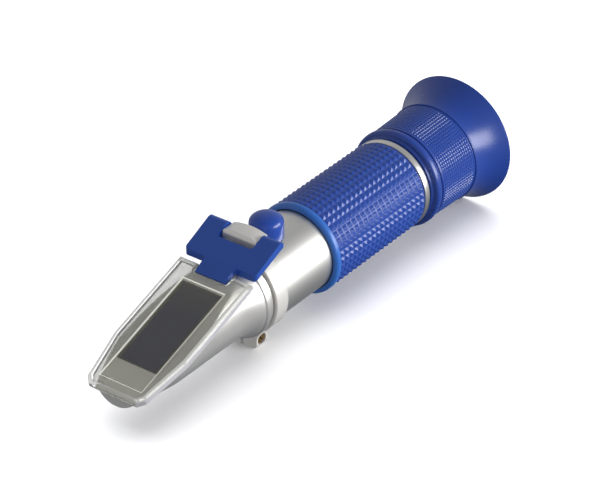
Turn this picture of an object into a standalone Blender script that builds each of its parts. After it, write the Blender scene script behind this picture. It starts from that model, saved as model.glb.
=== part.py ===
"""Hand-held optical refractometer with a hinged daylight plate.

The optical axis lies along X. The eyecup is at -X, the measuring prism and its
daylight plate are at +X, and the prism face looks up, along +Z. Stations are
distances along the optical axis, counted forward from the eyecup's rim.
The origin is at the middle of the instrument's length, on the optical axis.
"""
import math

import bmesh
import bpy
from mathutils import Matrix, Vector

MM = 0.001

# Fits
CLEARANCE = 0.3 * MM
OVERRUN = 2.0 * MM
MERGE_DISTANCE = 0.001 * MM
SHARP_ANGLE = math.radians(32)

# Facets around turned pieces
OUTER_STEPS = 48
INNER_STEPS = 24
SMALL_STEPS = 24
ARC_STEPS = 4
LENS_STEPS = 3
FLARE_STEPS = 5

# Eyecup: a rubber trumpet on the eyepiece
EYECUP_DEPTH = 11.8 * MM
EYECUP_RIM_RADIUS = 20.0 * MM
EYECUP_FOOT_RADIUS = 15.5 * MM
EYECUP_RIM_WIDTH = 0.9 * MM
EYECUP_RIM_ROUND = 0.45 * MM
EYECUP_FLOOR = 2.2 * MM
EYECUP_OPENING_RADIUS = 9.2 * MM
EYECUP_BOWL_FLOOR_RADIUS = 11.4 * MM
EYECUP_BOWL_CONE_SHARE = 0.75

# Focusing ring: ribbed barrel with a plain collar at its front
FOCUS_RIB_LENGTH = 15.0 * MM
FOCUS_COLLAR_LENGTH = 4.4 * MM
FOCUS_REAR_RADIUS = 15.5 * MM
FOCUS_WAIST_RADIUS = 15.1 * MM
FOCUS_COLLAR_RADIUS = 15.5 * MM
FOCUS_COLLAR_NOSE = 1.3 * MM
FOCUS_COLLAR_RISE_SHARE = 0.3
FOCUS_COLLAR_FALL_SHARE = 0.35
FOCUS_EDGE = 0.3 * MM
FOCUS_RIB_DEPTH = 0.35 * MM
FOCUS_RIB_COUNT = 45
FOCUS_FLANGE = 2.0 * MM
FOCUS_TRAVEL_IN = 0.6 * MM
FOCUS_TRAVEL_OUT = 5.0 * MM

# Silver collar between the focusing ring and the grip
REAR_COLLAR_LENGTH = 2.15 * MM
REAR_COLLAR_RADIUS = 13.9 * MM
REAR_COLLAR_CHAMFER = 0.35 * MM

# Knurled rubber grip and the blue ring at its front
GRIP_LENGTH = 40.45 * MM
GRIP_VALLEY_RADIUS = 13.65 * MM
GRIP_KNURL_HEIGHT = 0.6 * MM
GRIP_ROWS = 19
GRIP_COLUMNS = 42
OUTWARD_LIMIT = math.sin(math.radians(30))
FRONT_RING_LENGTH = 1.9 * MM
FRONT_RING_RADIUS = 14.2 * MM
FRONT_RING_ROUND = 1.1 * MM

# Body tube
TUBE_RADIUS = 12.35 * MM
TUBE_WALL = 1.35 * MM
TUBE_BARE_LENGTH = 20.6 * MM
TUBE_TAIL_SETBACK = 1.1 * MM

# Eyepiece inside the tube
BARREL_WALL = 1.2 * MM
BARREL_LENGTH = 31.9 * MM
BARREL_FLANGE_LENGTH = 1.5 * MM
BARREL_LIP_LENGTH = 1.5 * MM
BARREL_LIP_WIDTH = 1.1 * MM
RETAINER_LENGTH = 1.2 * MM
RETAINER_WIDTH = 1.0 * MM
EYE_LENS_EDGE = 1.3 * MM
EYE_LENS_CROWN = 1.1 * MM
FIELD_LENS_EDGE = 1.4 * MM
FIELD_LENS_CROWN = 1.0 * MM
GUIDE_PIN_STATION = 26.0 * MM
GUIDE_PIN_RADIUS = 0.8 * MM
GUIDE_PIN_SINK = 0.15 * MM

# Scale (reticle), light stop and compensator inside the tube
RETICLE_GAP = 3.4 * MM
RETICLE_THICKNESS = 1.5 * MM
RETICLE_RING_LENGTH = 1.5 * MM
RETICLE_SEAT_LENGTH = 2.5 * MM
RETICLE_RING_WIDTH = 1.4 * MM
LIGHT_STOP_STATION = 66.0 * MM
LIGHT_STOP_LENGTH = 1.5 * MM
LIGHT_STOP_OPENING = 6.0 * MM
MOUNT_LENGTH = 3.0 * MM
MOUNT_WIDTH = 1.7 * MM
STRIP_LENGTH = 5.9 * MM
STRIP_HALF_WIDTH = 3.0 * MM
STRIP_THICKNESS = 0.6 * MM
STRIP_DEPTH = 8.3 * MM
CARRIAGE_LENGTH = 4.2 * MM
CARRIAGE_RADIUS = 9.3 * MM
CARRIAGE_TRAVEL = 0.35 * MM
OBJECTIVE_RADIUS = 4.6 * MM
OBJECTIVE_EDGE = 1.4 * MM
OBJECTIVE_CROWN = 0.7 * MM

# Calibration screw, its bush and its rubber cap
CAP_SETBACK = 7.4 * MM
CAP_RADIUS = 5.5 * MM
CAP_TOP = 19.6 * MM
CAP_SHOULDER = 16.2 * MM
CAP_ROOF = 1.6 * MM
BUSH_RADIUS = 3.9 * MM
BUSH_TOP = 16.6 * MM
BUSH_DEPTH = 10.5 * MM
SCREW_HEAD_RADIUS = 2.5 * MM
SCREW_HEAD_HEIGHT = 2.6 * MM
SCREW_HEAD_TOP = 16.1 * MM
SCREW_SHANK_RADIUS = 1.2 * MM
SCREW_TIP = 6.8 * MM
SCREW_SLOT_WIDTH = 0.7 * MM
SCREW_SLOT_DEPTH = 0.9 * MM

# Prism box: the casting at the front, with its neck in the tube
SPIGOT_LENGTH = 2.9 * MM
BORE_RADIUS = 7.0 * MM
ORING_GROOVE_WIDTH = 1.5 * MM
ORING_GROOVE_DEPTH = 1.1 * MM
ORING_RADIUS = 0.4 * MM
ORING_STEPS = 6
NECK_RADIUS = 11.6 * MM
NECK_RING_LENGTH = 3.3 * MM
NECK_RING_RADIUS = 12.9 * MM
NECK_RING_CHAMFER = 0.45 * MM
BELL_LAND = 0.7 * MM
BELL_RADIUS = 12.4 * MM
BELL_LENGTH = 8.5 * MM
BELL_STEPS = 5
BOX_HALF_WIDTH = 11.1 * MM
BOX_TOP = 11.5 * MM
BOX_DEPTH = 8.8 * MM
BOX_LENGTH = 25.0 * MM
BOX_SQUARENESS = 2.2
NOSE_LENGTH = 15.5 * MM
NOSE_END_HALF_WIDTH = 6.9 * MM
NOSE_END_DEPTH = 8.0 * MM
NOSE_TAPER_SHARES = (
    (0.0, 0.0, 0.0),
    (0.4, 0.27, 0.02),
    (0.7, 0.5, 0.1),
    (0.87, 0.68, 0.3),
    (0.96, 0.84, 0.6),
    (1.0, 1.0, 1.0),
)
SECTION_POINTS = 48

# The sloping face: prism, seal, pad and daylight plate are square to it
FACE_SLOPE = math.radians(18.6)
FACE_SETBACK = 5.1 * MM
FACE_HEIGHT = 12.4 * MM
PAD_START = 6.3 * MM
PAD_LENGTH = 36.9 * MM
PAD_HALF_WIDTH = 7.9 * MM
PAD_HEIGHT = 0.5 * MM
PAD_CORNER = 0.6 * MM
POCKET_MARGIN = 0.5 * MM
POCKET_FRONT_MARGIN = 6.4 * MM
POCKET_CORNER = 1.0 * MM
SEAL_WALL = 0.5 * MM
SEAL_DEPTH = 1.7 * MM
PRISM_FLOOR = 4.6 * MM
PRISM_FRONT_LEAN = 1.4 * MM

# Daylight plate
PLATE_REAR_GAP = 0.3 * MM
PLATE_LENGTH = 48.6 * MM
PLATE_HALF_WIDTH = 12.6 * MM
PLATE_SHOULDER = 30.0 * MM
PLATE_FRONT_HALF_WIDTH = 9.7 * MM
PLATE_TIP_HALF_WIDTH = 7.5 * MM
PLATE_TIP_LENGTH = 2.0 * MM
PLATE_PANEL = 1.2 * MM
PRESS_START = 6.0 * MM
PRESS_LENGTH = 37.9 * MM
PRESS_HALF_WIDTH = 8.1 * MM
PRESS_HEIGHT = 0.3 * MM
PLATE_SKIRT_DEPTH = 2.6 * MM
PLATE_WALL = 1.1 * MM
PLATE_FRONT_WALL = 1.5 * MM
PLATE_REAR_WALL = 1.1 * MM
PLATE_REAR_SKIRT = 1.95 * MM
PLATE_BEVEL_WIDTH = 1.2 * MM
PLATE_BEVEL_DROP = 0.7 * MM
NOTCH_HALF_WIDTH = 6.2 * MM
NOTCH_DEPTH = 3.5 * MM

# Split clamp ring with the hinge knuckle on top and two ears below
CLAMP_LENGTH = 5.1 * MM
CLAMP_RADIUS = 13.2 * MM
CLAMP_GROOVE = 0.6 * MM
KNUCKLE_HALF_WIDTH = 5.8 * MM
KNUCKLE_CROWN_RADIUS = 17.9 * MM
KNUCKLE_OVERHANG = 0.4 * MM
KNUCKLE_TOP_LENGTH = 4.5 * MM
KNUCKLE_FOOT_LENGTH = 6.0 * MM
KNUCKLE_FOOT_HEIGHT = 15.7 * MM
KNUCKLE_ROOT_HEIGHT = 12.6 * MM
EAR_HALF_WIDTH = 5.3 * MM
EAR_DROP = 17.8 * MM
EAR_ROUND = 1.6 * MM
EAR_INSET = 0.2 * MM
EAR_ROOT_WIDEN = 1.6 * MM
EAR_ROOT_DEPTH = 12.4 * MM
SLIT_WIDTH = 1.0 * MM
EAR_SCREW_RADIUS = 1.5 * MM
EAR_SCREW_DEPTH = 15.3 * MM
EAR_SCREW_SINK = 0.9 * MM
EAR_SCREW_SLOT_WIDTH = 0.6 * MM
EAR_SCREW_SLOT_DEPTH = 0.7 * MM

# Hinge bracket: a T with a fork round the knuckle and a tongue on the plate
PIN_RADIUS = 0.75 * MM
PIN_SETFORWARD = 3.0 * MM
PIN_HEIGHT = 16.0 * MM
PIN_SINK = 0.4 * MM
BRACKET_SLOPE = math.radians(21.35)
TONGUE_SLOPE = math.radians(29.2)
BRACKET_HALF_WIDTH = 11.8 * MM
BRACKET_TOP_OFFSET = 1.7 * MM
BRACKET_THICKNESS = 2.8 * MM
BRACKET_BEND = 9.95 * MM
FORK_FRONT = 3.35 * MM
FORK_ROOT = 4.2 * MM
FORK_CORNER = 0.8 * MM
TONGUE_LENGTH = 5.7 * MM
TONGUE_HALF_WIDTH = 5.2 * MM
TONGUE_THICKNESS = 1.8 * MM
BRACKET_REAR_CORNER = 2.4 * MM
BRACKET_FRONT_CORNER = 1.8 * MM
TONGUE_CORNER = 0.8 * MM
BRACKET_RELIEF_GAP = 0.4 * MM

# Stations along the optical axis, worked out from the sizes above
FOCUS_START = EYECUP_DEPTH + CLEARANCE
FOCUS_WAIST = FOCUS_START + FOCUS_RIB_LENGTH
FOCUS_END = FOCUS_WAIST + FOCUS_COLLAR_LENGTH
REAR_COLLAR_START = FOCUS_END + FOCUS_TRAVEL_IN + CLEARANCE
REAR_COLLAR_END = REAR_COLLAR_START + REAR_COLLAR_LENGTH
GRIP_START = REAR_COLLAR_END + CLEARANCE
GRIP_END = GRIP_START + GRIP_LENGTH
FRONT_RING_START = GRIP_END + CLEARANCE
FRONT_RING_END = FRONT_RING_START + FRONT_RING_LENGTH
TUBE_END = FRONT_RING_END + TUBE_BARE_LENGTH
CLAMP_START = TUBE_END + CLEARANCE
CLAMP_END = CLAMP_START + CLAMP_LENGTH
NECK_RING_START = CLAMP_END + CLAMP_GROOVE
NECK_RING_END = NECK_RING_START + NECK_RING_LENGTH
BELL_START = NECK_RING_END + BELL_LAND
BELL_END = BELL_START + BELL_LENGTH
BOX_END = BELL_END + BOX_LENGTH
NOSE_END = BOX_END + NOSE_LENGTH
FACE_START = BELL_START + FACE_SETBACK
CAP_STATION = TUBE_END - CAP_SETBACK

# Radii that follow from the fits
TUBE_BORE = TUBE_RADIUS - TUBE_WALL
RUNNING_RADIUS = TUBE_BORE - CLEARANCE
SLEEVE_BORE = TUBE_RADIUS + CLEARANCE
BARREL_BORE = RUNNING_RADIUS - BARREL_WALL
LENS_RADIUS = BARREL_BORE - CLEARANCE
PIN_HOLE_RADIUS = PIN_RADIUS + CLEARANCE

# Levels across the sloping face, negative below the plate's top
PANEL_UNDERSIDE = -PLATE_PANEL
PRESS_LEVEL = PANEL_UNDERSIDE - PRESS_HEIGHT
PAD_LEVEL = PRESS_LEVEL - CLEARANCE
DECK_LEVEL = PAD_LEVEL - PAD_HEIGHT

OVERALL_LENGTH = (
    FACE_START
    + (PLATE_REAR_GAP + PLATE_LENGTH) * math.cos(FACE_SLOPE)
    - PLATE_BEVEL_DROP * math.sin(FACE_SLOPE)
)

# Placements: each maps the plane that an outline is drawn in to the part
ALONG_AXIS = Matrix.Translation((-OVERALL_LENGTH / 2, 0, 0))
SIDEWAYS = ALONG_AXIS @ Matrix.Rotation(math.pi / 2, 4, "X")
FACE = (
    ALONG_AXIS
    @ Matrix.Translation((FACE_START, 0, FACE_HEIGHT))
    @ Matrix.Rotation(FACE_SLOPE, 4, "Y")
)
UPRIGHT = ALONG_AXIS @ Matrix.Translation((CAP_STATION, 0, 0)) @ Matrix.Rotation(-math.pi / 2, 4, "Y")
PIN_STATION = CLAMP_START + PIN_SETFORWARD


def clear_scene():
    """Remove every object that the file starts with."""
    for old in list(bpy.data.objects):
        bpy.data.objects.remove(old, do_unlink=True)


def linear(channel):
    """Turn one sRGB channel, 0 to 1, into linear light."""
    return channel / 12.92 if channel <= 0.04045 else ((channel + 0.055) / 1.055) ** 2.4


def finish(name, code, roughness, metallic=0.0, transmission=0.0):
    """Make a plain surface of one colour, given as an sRGB hex code."""
    channels = [linear(int(code[place:place + 2], 16) / 255) for place in (0, 2, 4)]
    material = bpy.data.materials.new(name)
    material.use_nodes = True
    shader = material.node_tree.nodes["Principled BSDF"]
    shader.inputs["Base Color"].default_value = (*channels, 1.0)
    shader.inputs["Roughness"].default_value = roughness
    shader.inputs["Metallic"].default_value = metallic
    shader.inputs["Transmission Weight"].default_value = transmission
    material.diffuse_color = (*channels, 1.0)
    return material


def make_object(name, mesh_builder, material=None, placement=ALONG_AXIS):
    """Turn a finished bmesh into an object with outward faces."""
    bmesh.ops.remove_doubles(mesh_builder, verts=mesh_builder.verts, dist=MERGE_DISTANCE)
    mesh_builder.transform(placement)
    bmesh.ops.recalc_face_normals(mesh_builder, faces=mesh_builder.faces)
    mesh = bpy.data.meshes.new(name)
    mesh_builder.to_mesh(mesh)
    mesh_builder.free()
    mesh.shade_smooth()
    mesh.set_sharp_from_angle(angle=SHARP_ANGLE)
    if material:
        mesh.materials.append(material)
    piece = bpy.data.objects.new(name, mesh)
    bpy.context.scene.collection.objects.link(piece)
    return piece


def spun_mesh(profile, steps):
    """Spin (along, radius) points about X; a profile that leaves the axis open is closed."""
    bm = bmesh.new()
    verts = [bm.verts.new((along, 0, radius)) for along, radius in profile]
    edges = [bm.edges.new(pair) for pair in zip(verts, verts[1:])]
    if profile[0][1] > 0 or profile[-1][1] > 0:
        edges.append(bm.edges.new((verts[-1], verts[0])))
    bmesh.ops.spin(
        bm,
        geom=verts + edges,
        cent=(0, 0, 0),
        axis=(1, 0, 0),
        angle=2 * math.pi,
        steps=steps,
        use_merge=True,
    )
    bmesh.ops.remove_doubles(bm, verts=bm.verts, dist=MERGE_DISTANCE)
    bmesh.ops.recalc_face_normals(bm, faces=bm.faces)
    return bm


def turned(name, profile, material=None, steps=INNER_STEPS, placement=ALONG_AXIS):
    """Make a turned piece from (along, radius) points."""
    return make_object(name, spun_mesh(profile, steps), material, placement)


def ring_profile(start, length, inner, outer):
    """Give the four corners of a plain ring."""
    end = start + length
    return [(start, inner), (start, outer), (end, outer), (end, inner)]


def lens_profile(start, edge, crown, radius):
    """Give half of a biconvex lens: a rim of length edge and two crowns."""
    rows = [(step / LENS_STEPS, 1 - (step / LENS_STEPS) ** 2) for step in range(LENS_STEPS + 1)]
    rear = [(start + crown * (1 - height), radius * out) for out, height in rows]
    front_start = start + crown + edge
    front = [(front_start + crown * height, radius * out) for out, height in reversed(rows)]
    return rear + front


def quarter_turn(steps=ARC_STEPS):
    """Give evenly spaced angles from zero to a right angle."""
    return [math.pi / 2 * step / steps for step in range(steps + 1)]


def extruded(name, outline, low, high, material=None, placement=ALONG_AXIS):
    """Extrude a closed outline of (x, y) points from low to high along local Z."""
    bm = bmesh.new()
    face = bm.faces.new([bm.verts.new((x, y, low)) for x, y in outline])
    raised = bmesh.ops.extrude_face_region(bm, geom=[face])["geom"]
    verts = [item for item in raised if isinstance(item, bmesh.types.BMVert)]
    bmesh.ops.translate(bm, verts=verts, vec=(0, 0, high - low))
    return make_object(name, bm, material, placement)


def lofted(name, rings, material=None, placement=ALONG_AXIS):
    """Skin a list of rings, each with as many points as the next, and cap both ends."""
    bm = bmesh.new()
    loops = [[bm.verts.new(point) for point in ring] for ring in rings]
    for near, far in zip(loops, loops[1:]):
        for index, vert in enumerate(near):
            after = (index + 1) % len(near)
            bm.faces.new((vert, near[after], far[after], far[index]))
    bm.faces.new(loops[0])
    bm.faces.new(loops[-1])
    return make_object(name, bm, material, placement)


def rounded(corners, steps=ARC_STEPS):
    """Round the corners of an outline of (x, y, radius) entries."""
    outline = []
    for index, (x, y, radius) in enumerate(corners):
        here = Vector((x, y))
        if not radius:
            outline.append((x, y))
            continue
        before = Vector(corners[index - 1][:2]) - here
        after = Vector(corners[(index + 1) % len(corners)][:2]) - here
        half = before.angle(after) / 2
        reach = radius / math.tan(half)
        centre = here + (before.normalized() + after.normalized()).normalized() * (radius / math.sin(half))
        start = here + before.normalized() * reach - centre
        turn = start.angle_signed(here + after.normalized() * reach - centre)
        for step in range(steps + 1):
            spoke = start.copy()
            spoke.rotate(Matrix.Rotation(-turn * step / steps, 2))
            outline.append(tuple(centre + spoke))
    return outline


def mirrored(half):
    """Complete an outline of (x, y, radius) entries drawn on the +Y side."""
    return half + [(x, -y, radius) for x, y, radius in reversed(half)]


def combine(target, tool, operation="DIFFERENCE"):
    """Add a Boolean that cuts with, adds or keeps the tool's space, and hide the tool."""
    boolean = target.modifiers.new(f"{operation.lower()}_{tool.name}", "BOOLEAN")
    boolean.operation = operation
    boolean.solver = "EXACT"
    boolean.object = tool
    tool.hide_render = True
    tool.display_type = "WIRE"


def row_point(station, y=0.0, z=0.0):
    """Give the part's own coordinates of a place at a station."""
    return ALONG_AXIS @ Vector((station, y, z))


def pivot(name, location, *pieces):
    """Put an empty on a joint's axis and hang the moving pieces on it."""
    empty = bpy.data.objects.new(name, None)
    empty.location = location
    empty.empty_display_size = CAP_RADIUS
    bpy.context.scene.collection.objects.link(empty)
    for piece in pieces:
        piece.parent = empty
        piece.matrix_parent_inverse = Matrix.Translation(location).inverted()
    return empty


def make_finishes():
    """Make the surfaces that the pieces share."""
    return {
        "blue_rubber": finish("blue_rubber", "2B3F8C", 0.5),
        "grip_rubber": finish("grip_rubber", "2E4488", 0.45),
        "blue_plastic": finish("blue_plastic", "30468F", 0.35),
        "ring_plastic": finish("ring_plastic", "3A68B4", 0.3),
        "satin_aluminium": finish("satin_aluminium", "B9BABE", 0.38, metallic=0.9),
        "cast_aluminium": finish("cast_aluminium", "A9AAAC", 0.5, metallic=0.8),
        "black_anodised": finish("black_anodised", "1B1B1E", 0.6),
        "steel": finish("steel", "9C9C9E", 0.25, metallic=1.0),
        "brass": finish("brass", "A98A52", 0.35, metallic=1.0),
        "bimetal": finish("bimetal", "9A7B5A", 0.4, metallic=1.0),
        "optical_glass": finish("optical_glass", "EAF2F0", 0.05, transmission=1.0),
        "prism_glass": finish("prism_glass", "3C3A44", 0.08, transmission=0.3),
        "clear_acrylic": finish("clear_acrylic", "F2F5F4", 0.08, transmission=1.0),
        "black_rubber": finish("black_rubber", "202022", 0.7),
    }


def make_eyecup(finishes):
    """Make the flared eyecup: a concave trumpet outside, a deep bowl inside."""
    flare = EYECUP_RIM_RADIUS - EYECUP_FOOT_RADIUS
    outside = []
    for step in range(FLARE_STEPS + 1):
        share = step / FLARE_STEPS
        along = EYECUP_RIM_ROUND + (EYECUP_DEPTH - EYECUP_RIM_ROUND) * share
        outside.append((along, EYECUP_FOOT_RADIUS + flare * (1 - share) ** 2))
    rim_inner = EYECUP_RIM_RADIUS - EYECUP_RIM_WIDTH
    bowl_floor = EYECUP_DEPTH - EYECUP_FLOOR
    bowl = []
    for step in range(FLARE_STEPS + 1):
        share = step / FLARE_STEPS
        along = bowl_floor + (EYECUP_RIM_ROUND - bowl_floor) * share
        flared = EYECUP_BOWL_CONE_SHARE * share + (1 - EYECUP_BOWL_CONE_SHARE) * share ** 3
        rise = (rim_inner - EYECUP_BOWL_FLOOR_RADIUS) * flared
        bowl.append((along, EYECUP_BOWL_FLOOR_RADIUS + rise))
    crest = [(0, rim_inner + EYECUP_RIM_ROUND / 2), (0, EYECUP_RIM_RADIUS - EYECUP_RIM_ROUND / 2)]
    floor = [(EYECUP_DEPTH, EYECUP_OPENING_RADIUS), (bowl_floor, EYECUP_OPENING_RADIUS)]
    profile = crest + outside + floor + bowl
    return turned("eyecup", profile, finishes["blue_rubber"], OUTER_STEPS)


def make_focus_ring(finishes):
    """Make the focusing ring, with fine ribs along it and a plain rounded collar."""
    crest = FOCUS_COLLAR_RADIUS - FOCUS_WAIST_RADIUS
    rib_start = FOCUS_START + FOCUS_EDGE
    rib_end = FOCUS_WAIST - FOCUS_EDGE
    inner_face = FOCUS_START + FOCUS_FLANGE
    profile = [
        (FOCUS_START, TUBE_BORE),
        (FOCUS_START, FOCUS_REAR_RADIUS - FOCUS_EDGE),
        (rib_start, FOCUS_REAR_RADIUS),
        (rib_end, FOCUS_WAIST_RADIUS),
        (FOCUS_WAIST, FOCUS_WAIST_RADIUS - FOCUS_EDGE),
        (FOCUS_WAIST + FOCUS_EDGE, FOCUS_WAIST_RADIUS + crest / 2),
        (FOCUS_WAIST + FOCUS_COLLAR_LENGTH * FOCUS_COLLAR_RISE_SHARE, FOCUS_COLLAR_RADIUS),
        (FOCUS_END - FOCUS_COLLAR_LENGTH * FOCUS_COLLAR_FALL_SHARE, FOCUS_COLLAR_RADIUS),
        (FOCUS_END - FOCUS_EDGE, FOCUS_COLLAR_RADIUS - FOCUS_COLLAR_NOSE / 2),
        (FOCUS_END, FOCUS_COLLAR_RADIUS - FOCUS_COLLAR_NOSE),
        (FOCUS_END, SLEEVE_BORE),
        (inner_face, SLEEVE_BORE),
        (inner_face, TUBE_BORE),
    ]
    bm = spun_mesh(profile, 2 * FOCUS_RIB_COUNT)
    for vert in bm.verts:
        ribbed = abs(vert.co.x - rib_start) < MERGE_DISTANCE or abs(vert.co.x - rib_end) < MERGE_DISTANCE
        turn = math.atan2(vert.co.y, vert.co.z) / math.pi * FOCUS_RIB_COUNT
        if ribbed and round(turn) % 2:
            radius = math.hypot(vert.co.y, vert.co.z)
            vert.co.yz = vert.co.yz * (1 - FOCUS_RIB_DEPTH / radius)
    return make_object("focus_ring", bm, finishes["blue_rubber"])


def make_eyepiece(finishes):
    """Make the sliding eyepiece: barrel, retaining ring, two lenses, spacer and guide pin."""
    start = FOCUS_START
    end = start + BARREL_LENGTH
    flange = start + FOCUS_FLANGE + CLEARANCE
    lip = end - BARREL_LIP_LENGTH
    profile = [
        (start, BARREL_BORE),
        (start, RUNNING_RADIUS),
        (flange, RUNNING_RADIUS),
        (flange, TUBE_RADIUS),
        (flange + BARREL_FLANGE_LENGTH, TUBE_RADIUS),
        (flange + BARREL_FLANGE_LENGTH, RUNNING_RADIUS),
        (end, RUNNING_RADIUS),
        (end, BARREL_BORE - BARREL_LIP_WIDTH),
        (lip, BARREL_BORE - BARREL_LIP_WIDTH),
        (lip, BARREL_BORE),
    ]
    barrel = turned("eyepiece_barrel", profile, finishes["black_anodised"])
    slot_half_width = GUIDE_PIN_RADIUS + CLEARANCE
    slot_start = GUIDE_PIN_STATION - FOCUS_TRAVEL_IN - slot_half_width - CLEARANCE
    slot_end = GUIDE_PIN_STATION + FOCUS_TRAVEL_OUT + slot_half_width + CLEARANCE
    corners = [
        (slot_start, slot_half_width),
        (slot_end, slot_half_width),
        (slot_end, -slot_half_width),
        (slot_start, -slot_half_width),
    ]
    slot_floor = -(BARREL_BORE - BARREL_WALL)
    combine(barrel, extruded("cut_guide_slot", corners, -TUBE_BORE - CLEARANCE, slot_floor))

    retainer_start = start + CLEARANCE
    eye_start = retainer_start + RETAINER_LENGTH + CLEARANCE
    eye_length = EYE_LENS_EDGE + 2 * EYE_LENS_CROWN
    field_length = FIELD_LENS_EDGE + 2 * FIELD_LENS_CROWN
    field_start = lip - CLEARANCE - field_length
    spacer_start = eye_start + eye_length - EYE_LENS_CROWN / 2 + CLEARANCE
    spacer_length = field_start + FIELD_LENS_CROWN / 2 - CLEARANCE - spacer_start
    inner = LENS_RADIUS - RETAINER_WIDTH
    black = finishes["black_anodised"]
    glass = finishes["optical_glass"]
    pieces = [
        barrel,
        turned("lens_retaining_ring", ring_profile(retainer_start, RETAINER_LENGTH, inner, LENS_RADIUS), black),
        turned("eye_lens", lens_profile(eye_start, EYE_LENS_EDGE, EYE_LENS_CROWN, LENS_RADIUS), glass),
        turned("lens_spacer", ring_profile(spacer_start, spacer_length, inner, LENS_RADIUS), black),
        turned("field_lens", lens_profile(field_start, FIELD_LENS_EDGE, FIELD_LENS_CROWN, LENS_RADIUS), glass),
    ]
    return pieces


def make_guide_pin(finishes):
    """Make the pin in the tube that keeps the eyepiece barrel from turning."""
    outer = TUBE_RADIUS - GUIDE_PIN_SINK
    inner = BARREL_BORE + CLEARANCE
    profile = [(-outer, 0), (-outer, GUIDE_PIN_RADIUS), (-inner, GUIDE_PIN_RADIUS), (-inner, 0)]
    down = ALONG_AXIS @ Matrix.Translation((GUIDE_PIN_STATION, 0, 0)) @ Matrix.Rotation(-math.pi / 2, 4, "Y")
    return turned("guide_pin", profile, finishes["brass"], SMALL_STEPS // 2, down)


def make_body_tube(finishes):
    """Make the aluminium tube that carries the grip and the optics."""
    flange_end = FOCUS_START + FOCUS_FLANGE + CLEARANCE + BARREL_FLANGE_LENGTH
    start = flange_end + TUBE_TAIL_SETBACK
    profile = ring_profile(start, TUBE_END - start, TUBE_BORE, TUBE_RADIUS)
    tube = turned("body_tube", profile, finishes["satin_aluminium"], OUTER_STEPS)
    bush_hole = ring_hole(BUSH_RADIUS + CLEARANCE, 0, TUBE_RADIUS + OVERRUN)
    combine(tube, turned("cut_bush_hole", bush_hole, None, SMALL_STEPS, UPRIGHT))
    pin_hole = ring_hole(GUIDE_PIN_RADIUS + CLEARANCE, -TUBE_RADIUS - OVERRUN, 0)
    down = ALONG_AXIS @ Matrix.Translation((GUIDE_PIN_STATION, 0, 0)) @ Matrix.Rotation(-math.pi / 2, 4, "Y")
    combine(tube, turned("cut_guide_pin_hole", pin_hole, None, SMALL_STEPS // 2, down))
    return tube


def ring_hole(radius, low, high):
    """Give the profile of a plain round cutter from low to high."""
    return [(low, 0), (low, radius), (high, radius), (high, 0)]


def make_grip(finishes):
    """Make the rubber grip: a square grid of small pyramids wrapped round a sleeve."""
    pitch = GRIP_LENGTH / GRIP_ROWS
    outside = [(GRIP_START + pitch * row, GRIP_VALLEY_RADIUS) for row in range(GRIP_ROWS + 1)]
    bm = spun_mesh(outside + [(GRIP_END, SLEEVE_BORE), (GRIP_START, SLEEVE_BORE)], GRIP_COLUMNS)
    middle = (GRIP_VALLEY_RADIUS + SLEEVE_BORE) / 2
    cells = []
    for face in bm.faces:
        centre = face.calc_center_median()
        if math.hypot(centre.y, centre.z) > middle and abs(face.normal.x) < OUTWARD_LIMIT:
            cells.append(face)
    bmesh.ops.poke(bm, faces=cells, offset=GRIP_KNURL_HEIGHT)
    return make_object("grip_sleeve", bm, finishes["grip_rubber"])


def make_collars(finishes):
    """Make the silver collar behind the grip and the blue ring in front of it."""
    chamfer = REAR_COLLAR_CHAMFER
    rear = [
        (REAR_COLLAR_START, SLEEVE_BORE),
        (REAR_COLLAR_START, REAR_COLLAR_RADIUS - chamfer),
        (REAR_COLLAR_START + chamfer, REAR_COLLAR_RADIUS),
        (REAR_COLLAR_END, REAR_COLLAR_RADIUS),
        (REAR_COLLAR_END, SLEEVE_BORE),
    ]
    start = FRONT_RING_START
    shoulder = FRONT_RING_END - FRONT_RING_ROUND
    waist = FRONT_RING_RADIUS - FRONT_RING_ROUND
    front = [(start, SLEEVE_BORE), (start, FRONT_RING_RADIUS)]
    for turn in quarter_turn():
        front.append((shoulder + FRONT_RING_ROUND * math.sin(turn), waist + FRONT_RING_ROUND * math.cos(turn)))
    front.append((FRONT_RING_END, SLEEVE_BORE))
    return [
        turned("rear_collar", rear, finishes["satin_aluminium"], OUTER_STEPS),
        turned("front_ring", front, finishes["ring_plastic"], OUTER_STEPS),
    ]


def make_scale_optics(finishes):
    """Make the reticle between its ring and its seat, and the light stop before it."""
    inner = RUNNING_RADIUS - RETICLE_RING_WIDTH
    ring_start = FOCUS_START + BARREL_LENGTH + RETICLE_GAP
    reticle_start = ring_start + RETICLE_RING_LENGTH + CLEARANCE
    seat_start = reticle_start + RETICLE_THICKNESS + CLEARANCE
    disc = ring_hole(RUNNING_RADIUS, reticle_start, reticle_start + RETICLE_THICKNESS)
    black = finishes["black_anodised"]
    stop = ring_profile(LIGHT_STOP_STATION, LIGHT_STOP_LENGTH, LIGHT_STOP_OPENING, RUNNING_RADIUS)
    return [
        turned("reticle_ring", ring_profile(ring_start, RETICLE_RING_LENGTH, inner, RUNNING_RADIUS), black),
        turned("reticle", disc, finishes["optical_glass"]),
        turned("reticle_seat", ring_profile(seat_start, RETICLE_SEAT_LENGTH, inner, RUNNING_RADIUS), black),
        turned("light_stop", stop, black),
    ]


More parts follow.
